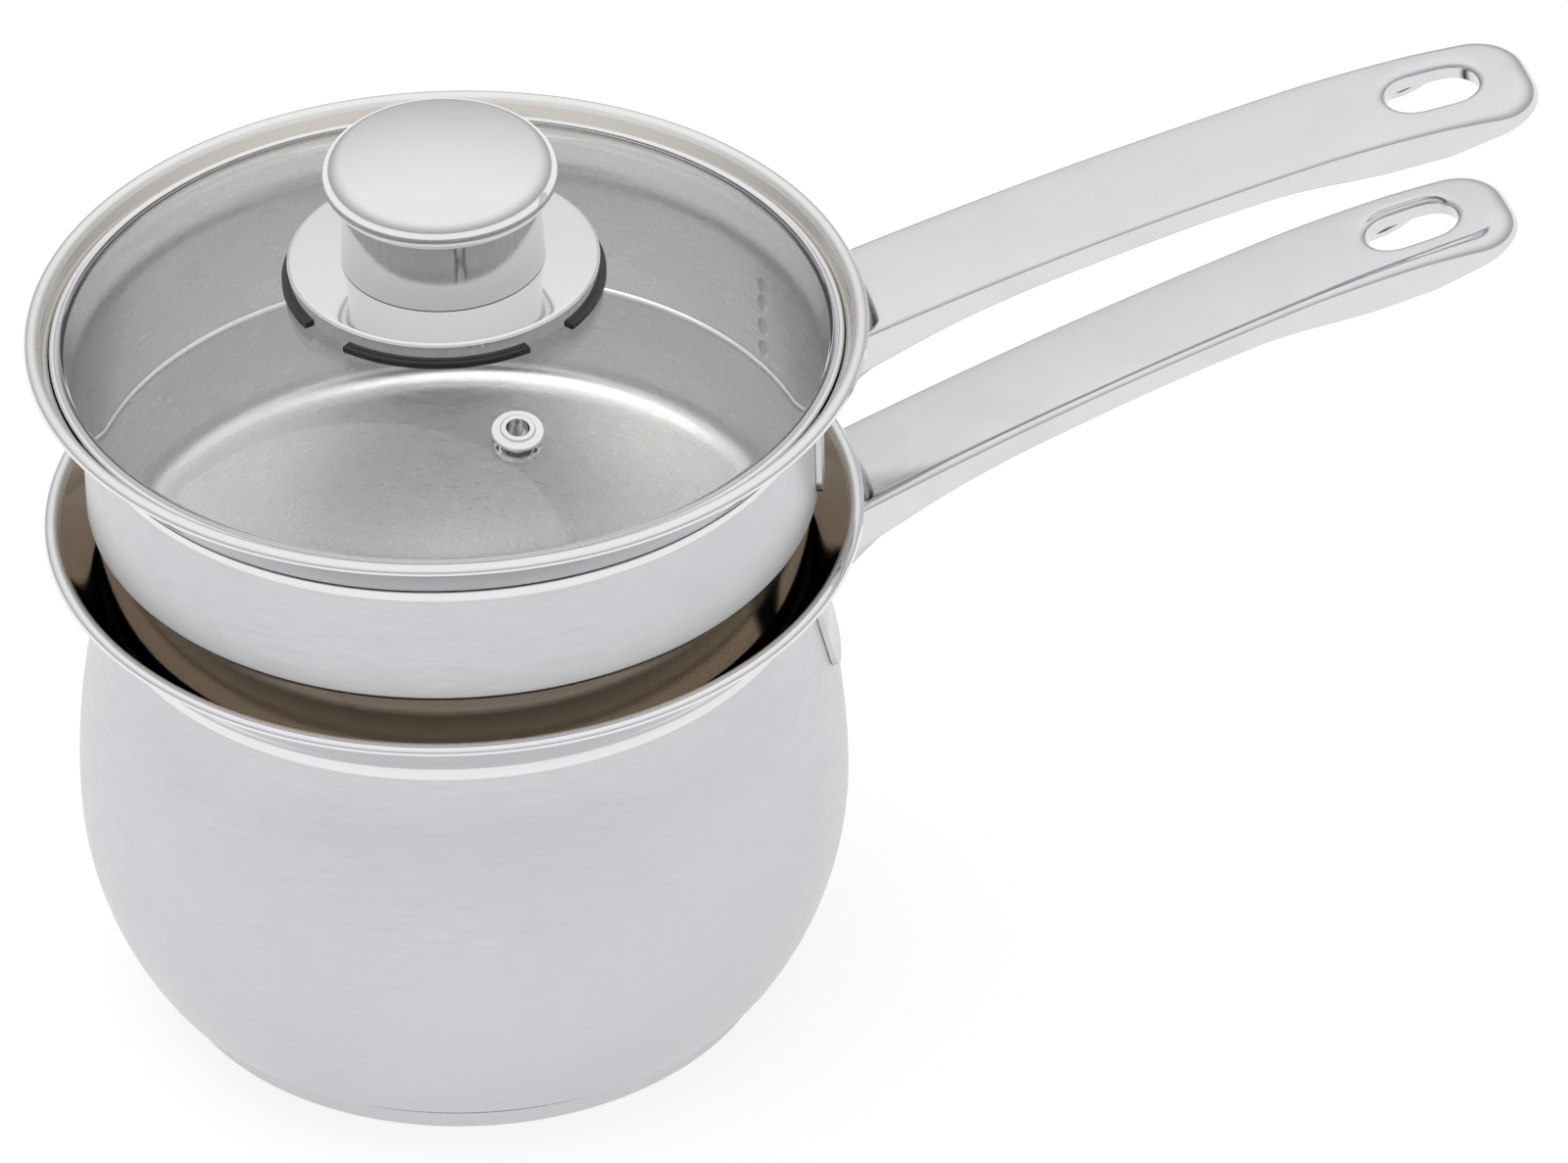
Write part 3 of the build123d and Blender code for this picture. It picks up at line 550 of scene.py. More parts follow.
def make_finishes():
    """All the object's finishes, each built once."""
    looks = bpy.context.scene.boiler_finishes
    groups = {"grain": turning_grain(), "polish": polish_step(), "marks": hand_marks()}
    pot, pan = bpy.context.scene.boiler_pot, bpy.context.scene.boiler_pan
    satin = (looks.satin, looks.satin_roughness, groups, 900, 0.06, 0.55)
    steel("Pot steel", *satin, pot.polish_line)
    steel("Insert steel", *satin, pan.polish_line)
    steel("Inner steel", looks.inner, looks.inner_roughness, groups, 900, 0.03, 0.3)
    steel("Rim steel", looks.polished, looks.polished_roughness, groups, 1400, 0.03, 0.2)
    # Painted shade: darker brownish steel for the gap between the pans.
    steel("Painted shade steel", looks.flare, looks.polished_roughness, groups, 1400, 0.03, 0.2)
    steel("Knob steel", looks.polished, looks.polished_roughness * 1.2, groups, 1600, 0.03, 0.4)
    steel("Base steel", *satin)
    bright_steel("Handle steel", looks.handle, looks.handle_roughness, groups)
    bright_steel("Bracket steel", looks.bracket, 0.25, groups)
    moulded("Spacer plastic", looks.plastic, 0.38, groups)
    moulded("Seal rubber", looks.silicone, 0.5, groups)
    moulded("Cast aluminium", looks.aluminium, 0.35, groups, 1.0)
    moulded("Insert brass", looks.brass, 0.28, groups, 1.0)
    clear_glass("Lid glass", looks.glass, groups)


# ---------------------------------------------------------------- outlines of the pans

def flare_ends(sizes, wall_radius, pan):
    """Height at which a flare leaves its wall, and the point where the curl of its rim begins."""
    turn, curl = sizes.flare_turn, pan.sheet + pan.curl_bow
    end = Vector((sizes.rim_radius - curl - cos(turn) * pan.curl_bow,
                  sizes.rim_height - curl + sin(turn) * pan.curl_bow))
    run = end.x - wall_radius - pan.flare_bow * (1 - cos(turn))
    return end.y - run / tan(turn) - pan.flare_bow * sin(turn), end


def pot_outline(sizes, pan):
    """Outer skin of the pot."""
    foot, curl_start = flare_ends(sizes, sizes.neck_radius, pan)
    inner_bow = sizes.side_bow - sizes.corner_bow
    side_turn = asin((sizes.belly_height - sizes.base_thickness - sizes.corner_bow) / inner_bow)
    floor_radius = sizes.belly_radius - sizes.side_bow + inner_bow * cos(side_turn)
    climb = sizes.throat_height - sizes.belly_height
    shoulder_turn = 2 * atan((sizes.belly_radius - sizes.neck_radius) / climb)
    throat_bow = climb / sin(shoulder_turn) - sizes.shoulder_bow
    left_over = asin((sizes.throat_height - foot) / throat_bow)
    line = Outline((0, sizes.base_thickness)).run_to((floor_radius, sizes.base_thickness))
    line.bend(sizes.corner_bow, pi / 2 - side_turn).bend(sizes.side_bow, side_turn)
    line.bend(sizes.shoulder_bow, shoulder_turn).bend(throat_bow, left_over - shoulder_turn)
    line.bend(pan.flare_bow, -sizes.flare_turn - left_over).run_to(curl_start)
    line.bend(pan.curl_bow, sizes.flare_turn - pi)
    return line


def pan_outline(sizes, pot):
    """Outer skin of the insert."""
    foot, curl_start = flare_ends(sizes, sizes.wall_radius, sizes)
    seat_radius = pot.neck_radius - sizes.sheet - sizes.play
    rise = 2 * sizes.step_bow * sin(sizes.step_turn)
    reach = 2 * sizes.step_bow * (1 - cos(sizes.step_turn))
    top = Vector((sizes.wall_radius - reach, sizes.step_height - rise))
    slope = (top.x - seat_radius) / (top.y - pot.throat_height)
    taper = atan(slope)
    corner_rise = sizes.corner_bow * (1 - sin(taper))
    corner_top = top.x - slope * (top.y - sizes.floor_height - corner_rise)
    floor_radius = corner_top - sizes.corner_bow * cos(taper)
    line = Outline((0, sizes.floor_height)).run_to((floor_radius, sizes.floor_height))
    line.bend(sizes.corner_bow, pi / 2 - taper).run_to(top)
    line.bend(sizes.step_bow, taper - sizes.step_turn).bend(sizes.step_bow, sizes.step_turn)
    line.run_to((line.points[-1].x, foot))
    line.bend(sizes.flare_bow, -sizes.flare_turn).run_to(curl_start)
    line.bend(sizes.curl_bow, sizes.flare_turn - pi)
    return line


class BoilerOperator:
    """What all operators of this object share."""
    bl_options = {"REGISTER", "UNDO"}


def shade_and_inner_parts(shell, in_gap_shade):
    """Give the darker brownish steel of painted shade to the faces in the gap that the test picks by side
    and height, and the inner steel to the other inward faces.
    """
    shell.data.materials.append(material("Painted shade steel"))
    shell.data.materials.append(material("Inner steel"))
    for face in shell.data.polygons:
        outward = face.normal.x * face.center.x + face.normal.y * face.center.y > 0
        face.material_index = 1 if in_gap_shade(outward, face.center.z) else 0 if outward else 2


class BOILER_OT_pot(BoilerOperator, bpy.types.Operator):
    """Turn the pot and its sandwich base"""
    bl_idname = "boiler.pot"
    bl_label = "Pot and base"

    def execute(self, context):
        sizes, pan = context.scene.boiler_pot, context.scene.boiler_pan
        shell = turned("pot_body", pot_outline(sizes, pan).wall(pan.sheet), material("Pot steel"))
        # Painted shade: the darker brownish steel inside the pot's flare, from the polish line up to the
        # lip.
        shade_and_inner_parts(shell, lambda outward, height: not outward
                  and sizes.polish_line < height < sizes.rim_height - pan.lip)
        finished(shell, "lower_pot", "satin_steel", "pot_shell")
        floor = Outline((0, 0)).run_to((sizes.cap_radius - sizes.cap_bow, 0))
        floor.bend(sizes.cap_bow, pi / 2).run_to((sizes.cap_radius, sizes.cap_wall))
        cap = turned("pot_base_cap", floor.wall(sizes.cap_sheet), material("Base steel"))
        finished(cap, "lower_pot", "polished_steel", "base_cap")
        dressed("base_core", material("Cast aluminium"))
        return {"FINISHED"}


def weld_mark(name, place, direction, radius):
    """Shallow round mark that stands out of the wall towards the axis."""
    rise, rings, steps = radius * 0.11, 4, 20
    side = Vector((-direction.y, direction.x, 0))
    points, faces = [], []
    for ring in range(rings + 1):
        reach = radius * cos(pi / 2 * ring / rings) if ring < rings else 0
        height = rise * sin(pi / 2 * ring / rings)
        for step in range(steps):
            turn = 2 * pi * step / steps
            flat = side * cos(turn) * reach + Vector((0, 0, sin(turn) * reach))
            points.append(place + flat - direction * height)
    for ring in range(rings):
        for step in range(steps):
            after = (step + 1) % steps
            faces.append([ring * steps + step, ring * steps + after,
                          (ring + 1) * steps + after, (ring + 1) * steps + step])
    faces.append(list(range(steps)))
    return make_piece(name, points, faces, material("Insert steel"))


class BOILER_OT_insert(BoilerOperator, bpy.types.Operator):
    """Turn the insert pan and set the weld marks inside its wall"""
    bl_idname = "boiler.insert"
    bl_label = "Insert pan"

    def execute(self, context):
        sizes, pot = context.scene.boiler_pan, context.scene.boiler_pot
        handle = context.scene.boiler_handle
        line = pan_outline(sizes, pot)
        shell = turned("insert_body", line.wall(sizes.sheet), material("Insert steel"))
        lip = sizes.rim_height - sizes.lip
        # Painted shade: the darker brownish steel on the insert's polished seat below the step, and a
        # thin band of it just under the lip inside.
        shade_and_inner_parts(shell, lambda outward, height: outward and height < sizes.step_height
                  or not outward and lip - 2 * MM < height < lip)
        finished(shell, "upper_pan", "satin_steel", "pan_shell")
        marks = []
        for side in (-1, 1):
            turn = handle.pan_turn + side * sizes.weld_turn
            direction = Vector((cos(turn), sin(turn), 0))
            for height in WELD_HEIGHTS:
                place = direction * (sizes.wall_radius - sizes.sheet) + Vector((0, 0, height * MM))
                name = f"weld_mark_{len(marks) + 1}"
                marks.append(weld_mark(name, place, direction, sizes.weld_radius))
        for mark in marks:
            finished(mark, "upper_pan", "satin_steel")
        return {"FINISHED"}


# ---------------------------------------------------------------- lid

def dome_height(lid, radius):
    """Height of the glass's upper face."""
    return lid.top - lid.bow + sqrt(lid.bow ** 2 - radius ** 2)


def glass_edge(lid, grow):
    """Upper skin, ground edge and lower skin of the glass, from the axis round, grown by a gap."""
    middle = lid.top - lid.bow
    bow = lid.edge_bow + grow
    inner = lid.radius - lid.edge_bow
    top_bow, low_bow = lid.bow + grow, lid.bow - lid.thickness - grow
    top_middle = Vector((inner, middle + sqrt((top_bow - bow) ** 2 - inner ** 2)))
    low_middle = Vector((inner, middle + sqrt((low_bow + bow) ** 2 - inner ** 2)))
    top_turn = atan2(top_middle.y - middle, inner)
    low_turn = atan2(low_middle.y - middle, inner)

    def dome(dome_bow, radius):
        return Vector((radius, middle + sqrt(dome_bow ** 2 - radius ** 2)))

    def arc(centre, first, last, steps=10):
        return [centre + Vector((cos(first + (last - first) * step / steps),
                                 sin(first + (last - first) * step / steps))) * bow
                for step in range(steps + 1)]

    return (lambda radius: dome(top_bow, radius), arc(top_middle, top_turn, 0),
            arc(low_middle, 0, low_turn - pi), lambda radius: dome(low_bow, radius))


def spread(first, last, count):
    """Evenly spaced values from first to last."""
    return [first + (last - first) * step / count for step in range(count + 1)]


def glass_section(lid):
    """Half section of the glass dome."""
    upper, top_arc, low_arc, lower = glass_edge(lid, 0)
    radii = spread(lid.bore / 2, top_arc[0].x, 26)[:-1]
    back = spread(low_arc[-1].x, lid.bore / 2, 26)[1:]
    return [*[upper(r) for r in radii], *top_arc, *low_arc, *[lower(r) for r in back]]


def band_section(lid, pan, gap=CLEARANCE):
    """Half section of the steel band round the ground edge; its bead rests on the insert's flare."""
    top_arc, low_arc, lower = glass_edge(lid, gap + lid.band_sheet)[1:]
    inside_top, inside_low, inside_down = glass_edge(lid, gap)[1:]
    curl_start = flare_ends(pan, pan.wall_radius, pan)[1]
    bead = lid.bead_reach - lid.bead_bow
    clear = (lid.bead_bow + gap + pan.sheet) / cos(pan.flare_turn)
    seat = curl_start.y - (curl_start.x - clear - bead) / tan(pan.flare_turn)
    half = lid.band_sheet / 2
    dip = asin(half / lid.bead_bow)
    ring = [Vector((bead, seat)) + Vector((cos(turn), sin(turn))) * lid.bead_bow
            for turn in spread(pi - dip, dip - pi, 28)]
    skin = lid.radius + gap + lid.band_sheet
    wrapped = len(top_arc) // 2
    upper_side = [point for point in top_arc[wrapped:] if point.y > seat + half]
    lower_side = [point for point in top_arc[wrapped:] + low_arc if point.y < seat - half]
    outside = [*upper_side, Vector((skin, seat + half)), *ring,
               Vector((skin, seat - half)), *lower_side,
               *[lower(r) for r in spread(low_arc[-1].x, lid.band_inner, 3)[1:]]]
    inside = [*inside_top[wrapped:], *inside_low,
              *[inside_down(r) for r in spread(inside_low[-1].x, lid.band_inner, 3)[1:]]]
    return outside + inside[::-1]


def vent_frame(lid):
    """Place of the steam vent, its Z square to the dome."""
    lean = asin(lid.vent_place / lid.bow)
    place = Matrix.Translation((lid.vent_place, 0, dome_height(lid, lid.vent_place)))
    return Matrix.Rotation(lid.vent_turn, 4, "Z") @ place @ Matrix.Rotation(lean, 4, "Y")


def eyelet_section(lid):
    """Half section of the flanged eyelet, from the steam hole outward."""
    gap, washer = CLEARANCE, 0.8 * MM
    bore, ring, flange = lid.vent_bore / 2, lid.vent_ring / 2, lid.vent_flange / 2
    top, fold = lid.vent_ring_height + gap, lid.vent_fold
    depth = lid.thickness + washer + 2 * gap
    flange_top = gap + 0.9 * MM
    low = -depth - washer
    return rounded([
        (bore, low, 0.2 * MM), (bore, top, 0.45 * MM),
        (ring, top, fold), (ring, flange_top, 0.25 * MM),
        (flange, flange_top, fold), (flange, gap, 0.1 * MM), (ring, gap, 0), (ring, -depth, 0),
        (flange - fold, -depth, 0.1 * MM), (flange - fold, low, fold),
    ])


class BOILER_OT_lid(BoilerOperator, bpy.types.Operator):
    """Make the glass dome, its steel band and the steam vent"""
    bl_idname = "boiler.lid"
    bl_label = "Glass lid"

    def execute(self, context):
        lid, pan = context.scene.boiler_lid, context.scene.boiler_pan
        look = material("Lid glass")
        glass = turned("lid_glass_dome", glass_section(lid), look, FINE_TURN_STEPS)
        wide, deep = lid.vent_ring / 2 + CLEARANCE, 10 * MM
        drill = [Vector(corner) for corner in ((0, -deep), (wide, -deep), (wide, deep), (0, deep))]
        hole = turned("vent_cutter", drill, look, 48, vent_frame(lid))
        cut = glass.modifiers.new("Vent hole", "BOOLEAN")
        cut.operation, cut.solver, cut.object = "DIFFERENCE", "EXACT", hole
        graph = context.evaluated_depsgraph_get()
        mesh = bpy.data.meshes.new_from_object(glass.evaluated_get(graph))
        glass.modifiers.clear()
        glass.data = mesh
        mesh.set_sharp_from_angle(angle=radians(35))
        bpy.data.objects.remove(hole)
        finished(glass, "lid", "glass", "lid_glass")
        band = turned("lid_rim_band", band_section(lid, pan), material("Rim steel"),
                      FINE_TURN_STEPS, sharp=45)
        finished(band, "lid", "polished_steel", "lid_band")
        eyelet = turned("steam_eyelet", eyelet_section(lid), material("Knob steel"),
                        64, vent_frame(lid))
        finished(eyelet, "lid", "polished_steel", "vent_eyelet")
        dressed("vent_washer", material("Knob steel"))
        return {"FINISHED"}


class BOILER_OT_knob(BoilerOperator, bpy.types.Operator):
    """Make the knob's cap, neck and base plate, and dress what holds them"""
    bl_idname = "boiler.knob"
    bl_label = "Knob"

    def execute(self, context):
        knob = context.scene.boiler_knob
        steel_look = material("Knob steel")
        reach = knob.cap_radius - knob.cap_roll
        inner = knob.cap_bow - knob.cap_roll
        turn = asin(reach / inner)
        gap = CLEARANCE
        undercut = (knob.cap_radius - knob.neck_radius - gap) / (1 - cos(knob.cap_undercut_turn))
        cap = Outline((0, knob.top)).bend(knob.cap_bow, -turn).bend(knob.cap_roll, turn - pi / 2)
        cap.bend(undercut, -knob.cap_undercut_turn)
        finished(turned("knob_top", cap.wall(-knob.sheet), steel_look),
                 "lid", "polished_steel", "knob_cap")
        edge = knob.top - knob.cap_bow + sqrt(inner ** 2 - reach ** 2)
        low, high = knob.neck_foot + gap, edge - undercut * sin(knob.cap_undercut_turn) - gap
        half = (high - low) / 2
        waist_bow = (half ** 2 + knob.neck_waist ** 2) / (2 * knob.neck_waist)
        lean = asin(half / waist_bow)
        neck = Outline((knob.neck_radius, low), pi / 2 + lean).bend(waist_bow, -2 * lean)
        finished(turned("knob_collar", neck.wall(knob.sheet), steel_look),
                 "lid", "polished_steel", "knob_neck")
        core = knob.neck_radius - knob.neck_waist - knob.sheet - gap
        shoulder = Vector((knob.plate_radius - knob.plate_roll, knob.neck_foot - knob.plate_fall))
        plate = Outline((core + 2 * gap, knob.neck_foot)).run_to(shoulder)
        plate.bend(knob.plate_roll, -pi / 2 - plate.headings[-1])
        plate.run_to((plate.points[-1].x, knob.lobe_top + gap))
        finished(turned("knob_skirt", plate.wall(-knob.sheet), steel_look),
                 "lid", "polished_steel", "knob_base_plate")
        for node, finish in (("knob_spacer", "Spacer plastic"), ("knob_core", "Spacer plastic"),
                             ("knob_nut", "Insert brass"), ("knob_screw", "Knob steel"),
                             ("screw_washer", "Knob steel"), ("screw_seal", "Seal rubber")):
            dressed(node, material(finish))
        return {"FINISHED"}


# ---------------------------------------------------------------- handles

class Pressing:
    """Shape of the pressed handle in its own frame: X from wall to tip, Z up."""

    def __init__(self, sizes):
        self.sizes = sizes
        self.end = sizes.length - sizes.tip_swell
        half = sizes.palm_width / 2
        self.cap_bow = (half ** 2 + sizes.tip_swell ** 2) / (2 * sizes.tip_swell)
        self.cap_middle = sizes.length - self.cap_bow
        self.corner_y = self.half_width(self.end - sizes.tip_bow) - sizes.tip_bow
        reach = self.cap_bow - sizes.tip_bow
        self.corner_x = self.cap_middle + sqrt(reach ** 2 - self.corner_y ** 2)
        length = sizes.length
        belly = [(0.0, sizes.root_depth), (0.155, sizes.throat_depth), (0.32, sizes.grip_depth),
                 (0.62, sizes.grip_depth), (0.77, sizes.palm_depth), (0.86, sizes.palm_depth)]
        self.low = [(at * length, self.back(at * length) - depth) for at, depth in belly]

    def half_width(self, x):
        """Half the width, on a curve through root, waist and palm."""
        sizes = self.sizes
        waist = sizes.length * sizes.waist_share
        places = {0: sizes.root_width / 2, waist: sizes.waist_width / 2,
                  self.end: sizes.palm_width / 2}
        total = 0
        for here, value in places.items():
            weight = value
            for other in places:
                if other != here:
                    weight *= (x - other) / (here - other)
            total += weight
        return total

    def back(self, x):
        """Height of the back above its chord."""
        sizes = self.sizes
        at = x / sizes.length
        meet = sizes.arch_share
        bow = 2 * (2 * sizes.half_arch - sizes.arch) / meet ** 2
        start = sizes.arch / meet + bow * meet
        if at <= meet:
            return start * at - bow * at ** 2
        run = at - meet
        slope = start - 2 * bow * meet
        fall = (sizes.arch + slope * (1 - meet)) * (run / (1 - meet)) ** 2
        return sizes.arch + slope * run - fall

    def under(self, x):
        """Height of the channel's lower edge."""
        low = self.low
        last = low[-1]
        if x >= last[0]:
            fall = (x - last[0]) / (self.sizes.length - last[0])
            return last[1] + (-self.sizes.tip_depth - last[1]) * min(fall, 1)
        slopes = [0.0] * len(low)
        for i in range(1, len(low) - 1):
            slopes[i] = (low[i + 1][1] - low[i - 1][1]) / (low[i + 1][0] - low[i - 1][0])
        slopes[0] = (low[1][1] - low[0][1]) / (low[1][0] - low[0][0]) * 1.25
        slopes[-1] = (low[-1][1] - low[-2][1]) / (low[-1][0] - low[-2][0])
        for i in range(len(low) - 1):
            if x <= low[i + 1][0]:
                span = low[i + 1][0] - low[i][0]
                t = (x - low[i][0]) / span
                return ((2 * t ** 3 - 3 * t ** 2 + 1) * low[i][1]
                        + (t ** 3 - 2 * t ** 2 + t) * span * slopes[i]
                        + (3 * t ** 2 - 2 * t ** 3) * low[i + 1][1]
                        + (t ** 3 - t ** 2) * span * slopes[i + 1])
        return low[-1][1]

    def fold(self, x):
        """Radius along the back's edges, softer at the palm and the tip."""
        at = x / self.sizes.length
        for (first, low), (last, high) in zip(BACK_FOLDS, BACK_FOLDS[1:]):
            if at <= last:
                t = max(0, (at - first) / (last - first))
                return (low + (high - low) * t) * MM
        return BACK_FOLDS[-1][1] * MM

    def lip(self, x):
        """Reach of the lips; only the sheet's own thickness where there are none."""
        at = x / self.sizes.length
        grow = min(max((at - 0.145) / 0.03, 0), 1, max((0.872 - at) / 0.02, 0))
        return self.sizes.sheet + (self.sizes.lip - self.sizes.sheet) * grow

    def stations(self):
        """Functions that give the plan point at an inset, from the root to the tip's middle."""
        sizes = self.sizes
        result = []
        for at in spread(0, 1, 40):
            x = self.corner_x * at
            slope = (self.half_width(x + MM) - self.half_width(x - MM)) / (2 * MM)
            normal = Vector((slope, -1)).normalized()
            start = Vector((x, self.half_width(x)))
            result.append(lambda inset, start=start, normal=normal: start + normal * inset)
        last = atan2(self.corner_y, self.corner_x - self.cap_middle)
        corner = Vector((self.corner_x, self.corner_y))
        for turn in spread(pi / 2, last, 14)[1:]:
            outward = Vector((cos(turn), sin(turn)))
            result.append(lambda inset, outward=outward: corner + outward * (sizes.tip_bow - inset))
        for turn in spread(last, 0, 3)[1:]:
            outward = Vector((cos(turn), sin(turn)))
            result.append(lambda inset, outward=outward:
                          Vector((self.cap_middle, 0)) + outward * (self.cap_bow - inset))
        return result

    def top(self, x, y, sink=0.0):
        """Point of the back, slightly crowned across."""
        half = self.half_width(min(x, self.corner_x))
        return Vector((x, y, self.back(x) - self.sizes.crown * (y / half) ** 2 - sink))


def handle_mesh(sizes, fit):
    """Points and faces of the pressing; fit carries a point near the root to the wall."""
    form = Pressing(sizes)
    stations = form.stations()
    count = len(stations) - 1
    points, faces = [], []
    columns = []
    across = 10

    def put(point):
        points.append(point)
        return len(points) - 1

    def strip(first, second):
        for a, b, c, d in zip(first, first[1:], second[1:], second):
            faces.append([a, b, c, d])

    def section(place, side):
        """Skin from the lip's end over wall and fold, outside, then back inside."""
        start = place(0)
        fold = form.fold(start.x)
        sheet, lip = sizes.sheet, form.lip(start.x)
        outside, inside = [], []

        def at(inset, height):
            plan = place(inset)
            return Vector((plan.x, plan.y * side, height))

        low = form.under(min(start.x, sizes.length))
        edge = 0.35 * MM
        outside.append(at(lip, low))
        outside += [at(max(edge, 0.5 * lip), low), at(edge, low),
                    at(edge * 0.3, low + edge * 0.3), at(0, low + edge)]
        rim = form.top(place(0).x, place(0).y).z
        wall_top = rim - fold
        outside += [at(0, low + (wall_top - low) * step) for step in (0.2, 0.5, 0.8, 0.95)]
        for step in range(9):
            turn = pi / 2 * step / 8
            inset = fold * (1 - cos(turn))
            plan = place(inset)
            outside.append(at(inset, form.top(plan.x, plan.y).z - fold * (1 - sin(turn))))
        small = max(fold - sheet, 0.25 * MM)
        for step in range(9):
            turn = pi / 2 * (8 - step) / 8
            inset = sheet + small * (1 - cos(turn))
            if step == 0:
                inset = fold if fold > sheet else inset
            plan = place(max(inset, sheet))
            height = form.top(plan.x, plan.y).z - sheet - small * (1 - sin(turn))
            inside.append(at(max(inset, sheet), height))
        inside += [at(sheet, low + sheet + (wall_top - low - sheet) * step)
                   for step in (0.8, 0.5, 0.1)]
        inside += [at(sheet, low + sheet), at(max(sheet, lip), low + sheet)]
        return outside, inside

    near_rows, far_rows = [], []
    for place in stations:
        for side, rows in ((1, near_rows), (-1, far_rows)):
            outside, inside = section(place, side)
            rows.append(([put(p) for p in outside], [put(p) for p in inside]))
    for rows in (near_rows, far_rows):
        for (out_a, in_a), (out_b, in_b) in zip(rows, rows[1:]):
            strip(out_a, out_b)
            strip(in_a, in_b)
            strip([out_a[0], in_a[-1]], [out_b[0], in_b[-1]])
        out_root, in_root = rows[0]
        strip([out_root[0], in_root[-1]], [out_root[1], in_root[-2]])
        ring = out_root[1:]
        inner = in_root[:-1][::-1]
        for k in range(len(ring) - 1):
            a = inner[min(k, len(inner) - 1)]
            b = inner[min(k + 1, len(inner) - 1)]
            faces.append(list(dict.fromkeys([ring[k], ring[k + 1], b, a])))

    hole_end = sizes.length - sizes.tip_land
    hole_start = hole_end - sizes.hole_length
    bow = sizes.hole_width / 2
    first_middle, last_middle = hole_start + bow, hole_end - bow

    def row(index, inner):
        """One line of points across the back at a station."""
        near = (near_rows[index][1][0] if inner else near_rows[index][0][-1])
        far = (far_rows[index][1][0] if inner else far_rows[index][0][-1])
        a, b = points[near], points[far]
        sink = sizes.sheet if inner else 0
        middle = [put(form.top(a.x + (b.x - a.x) * t, a.y + (b.y - a.y) * t, sink))
                  for t in spread(0, 1, across)[1:-1]]
        return [near, *middle, far]

    for inner in (False, True):
        lines = [row(index, inner) for index in range(count + 1)]
        xs = [points[line[0]].x for line in lines]
        before = max(i for i in range(count + 1) if xs[i] < hole_start - sizes.hole_fold - 1.2 * MM)
        after = min(i for i in range(count + 1) if xs[i] > hole_end + sizes.hole_fold + 0.3 * MM)
        for i in range(count):
            if i < before or i >= after:
                strip(lines[i], lines[i + 1])
        if inner:
            strip(lines[0], outer_root)
        else:
            outer_root = lines[0]
        loop = lines[before] + [lines[i][-1] for i in range(before + 1, after)]
        loop += lines[after][::-1] + [lines[i][0] for i in range(after - 1, before, -1)]
        sheet = sizes.sheet if inner else 0
        soft = sizes.hole_fold - sheet
        rings = [loop]
        hub = [Vector((min(max(points[i].x, first_middle), last_middle), 0)) for i in loop]
        ray = [(Vector(points[i].xy) - middle).normalized() for i, middle in zip(loop, hub)]
        reach = [(Vector(points[i].xy) - middle).length for i, middle in zip(loop, hub)]
        brim = bow + sizes.hole_fold
        for t in (0.34, 0.67, 1.0):
            ring = []
            for middle, out, far in zip(hub, ray, reach):
                plan = middle + out * (far + (brim - far) * t)
                ring.append(put(form.top(plan.x, plan.y, sheet)))
            rings.append(ring)
        for step in range(1, 8):
            turn = pi / 2 * step / 7
            ring = []
            for middle, out in zip(hub, ray):
                plan = middle + out * (brim - soft * sin(turn))
                ring.append(put(form.top(plan.x, plan.y, sheet + soft * (1 - cos(turn)))))
            rings.append(ring)
        for depth in (0.6, 1.0):
            ring = []
            for middle, out in zip(hub, ray):
                plan = middle + out * (brim - soft)
                fall = sizes.hole_fold + (sizes.collar - sizes.hole_fold) * depth
                ring.append(put(form.top(plan.x, plan.y, fall)))
            rings.append(ring)
        for one, two in zip(rings, rings[1:]):
            strip(one + one[:1], two + two[:1])
        if inner:
            strip(rings[-1] + rings[-1][:1], collar_end + collar_end[:1])
        else:
            collar_end = rings[-1]
    for point in points:
        if point.x < FIT_REACH:
            start = fit(point)
            point.x = start + point.x * (FIT_REACH - start) / FIT_REACH
    return points, faces


def wall_fit(line, place, standoff):
    """Function that finds, for a point of the pressing, where its line along X meets the wall."""
    def fit(point):
        x = 0.0
        for unused in range(8):
            spot = place @ Vector((x, point.y, point.z))
            x += line.radius_at(spot.z) + standoff - spot.xy.length
        return x
    return fit


def handle_piece(name, sizes, line, place):
    """One pressed handle against a pan's wall."""
    points, faces = handle_mesh(sizes, wall_fit(line, place, sizes.standoff))
    placed = [place @ point for point in points]
    return make_piece(name, placed, faces, material("Handle steel"), 50)


class BOILER_OT_handles(BoilerOperator, bpy.types.Operator):
    """Press both handles and dress their brackets"""
    bl_idname = "boiler.handles"
    bl_label = "Handles"

    def execute(self, context):
        sizes = context.scene.boiler_handle
        pot, pan = context.scene.boiler_pot, context.scene.boiler_pan
        seat = Matrix.Translation((sizes.seat_radius, 0, pot.rim_height - sizes.drop))
        place = seat @ Matrix.Rotation(-sizes.pot_pitch, 4, "Y")
        lower = handle_piece("pot_grip", sizes, pot_outline(pot, pan), place)
        finished(lower, "lower_pot", "handle_steel", "pot_handle")
        seat = Matrix.Translation((sizes.seat_radius, 0, pan.rim_height - sizes.drop))
        place = Matrix.Rotation(sizes.pan_turn, 4, "Z") @ seat
        place = place @ Matrix.Rotation(-sizes.pan_pitch, 4, "Y")
        place = place @ Matrix.Rotation(sizes.pan_roll, 4, "X")
        upper = handle_piece("insert_grip", sizes, pan_outline(pan, pot), place)
        finished(upper, "upper_pan", "handle_steel", "pan_handle")
        dressed("pot_handle_bracket", material("Bracket steel"))
        dressed("pan_handle_bracket", material("Bracket steel"))
        return {"FINISHED"}


# ---------------------------------------------------------------- stage

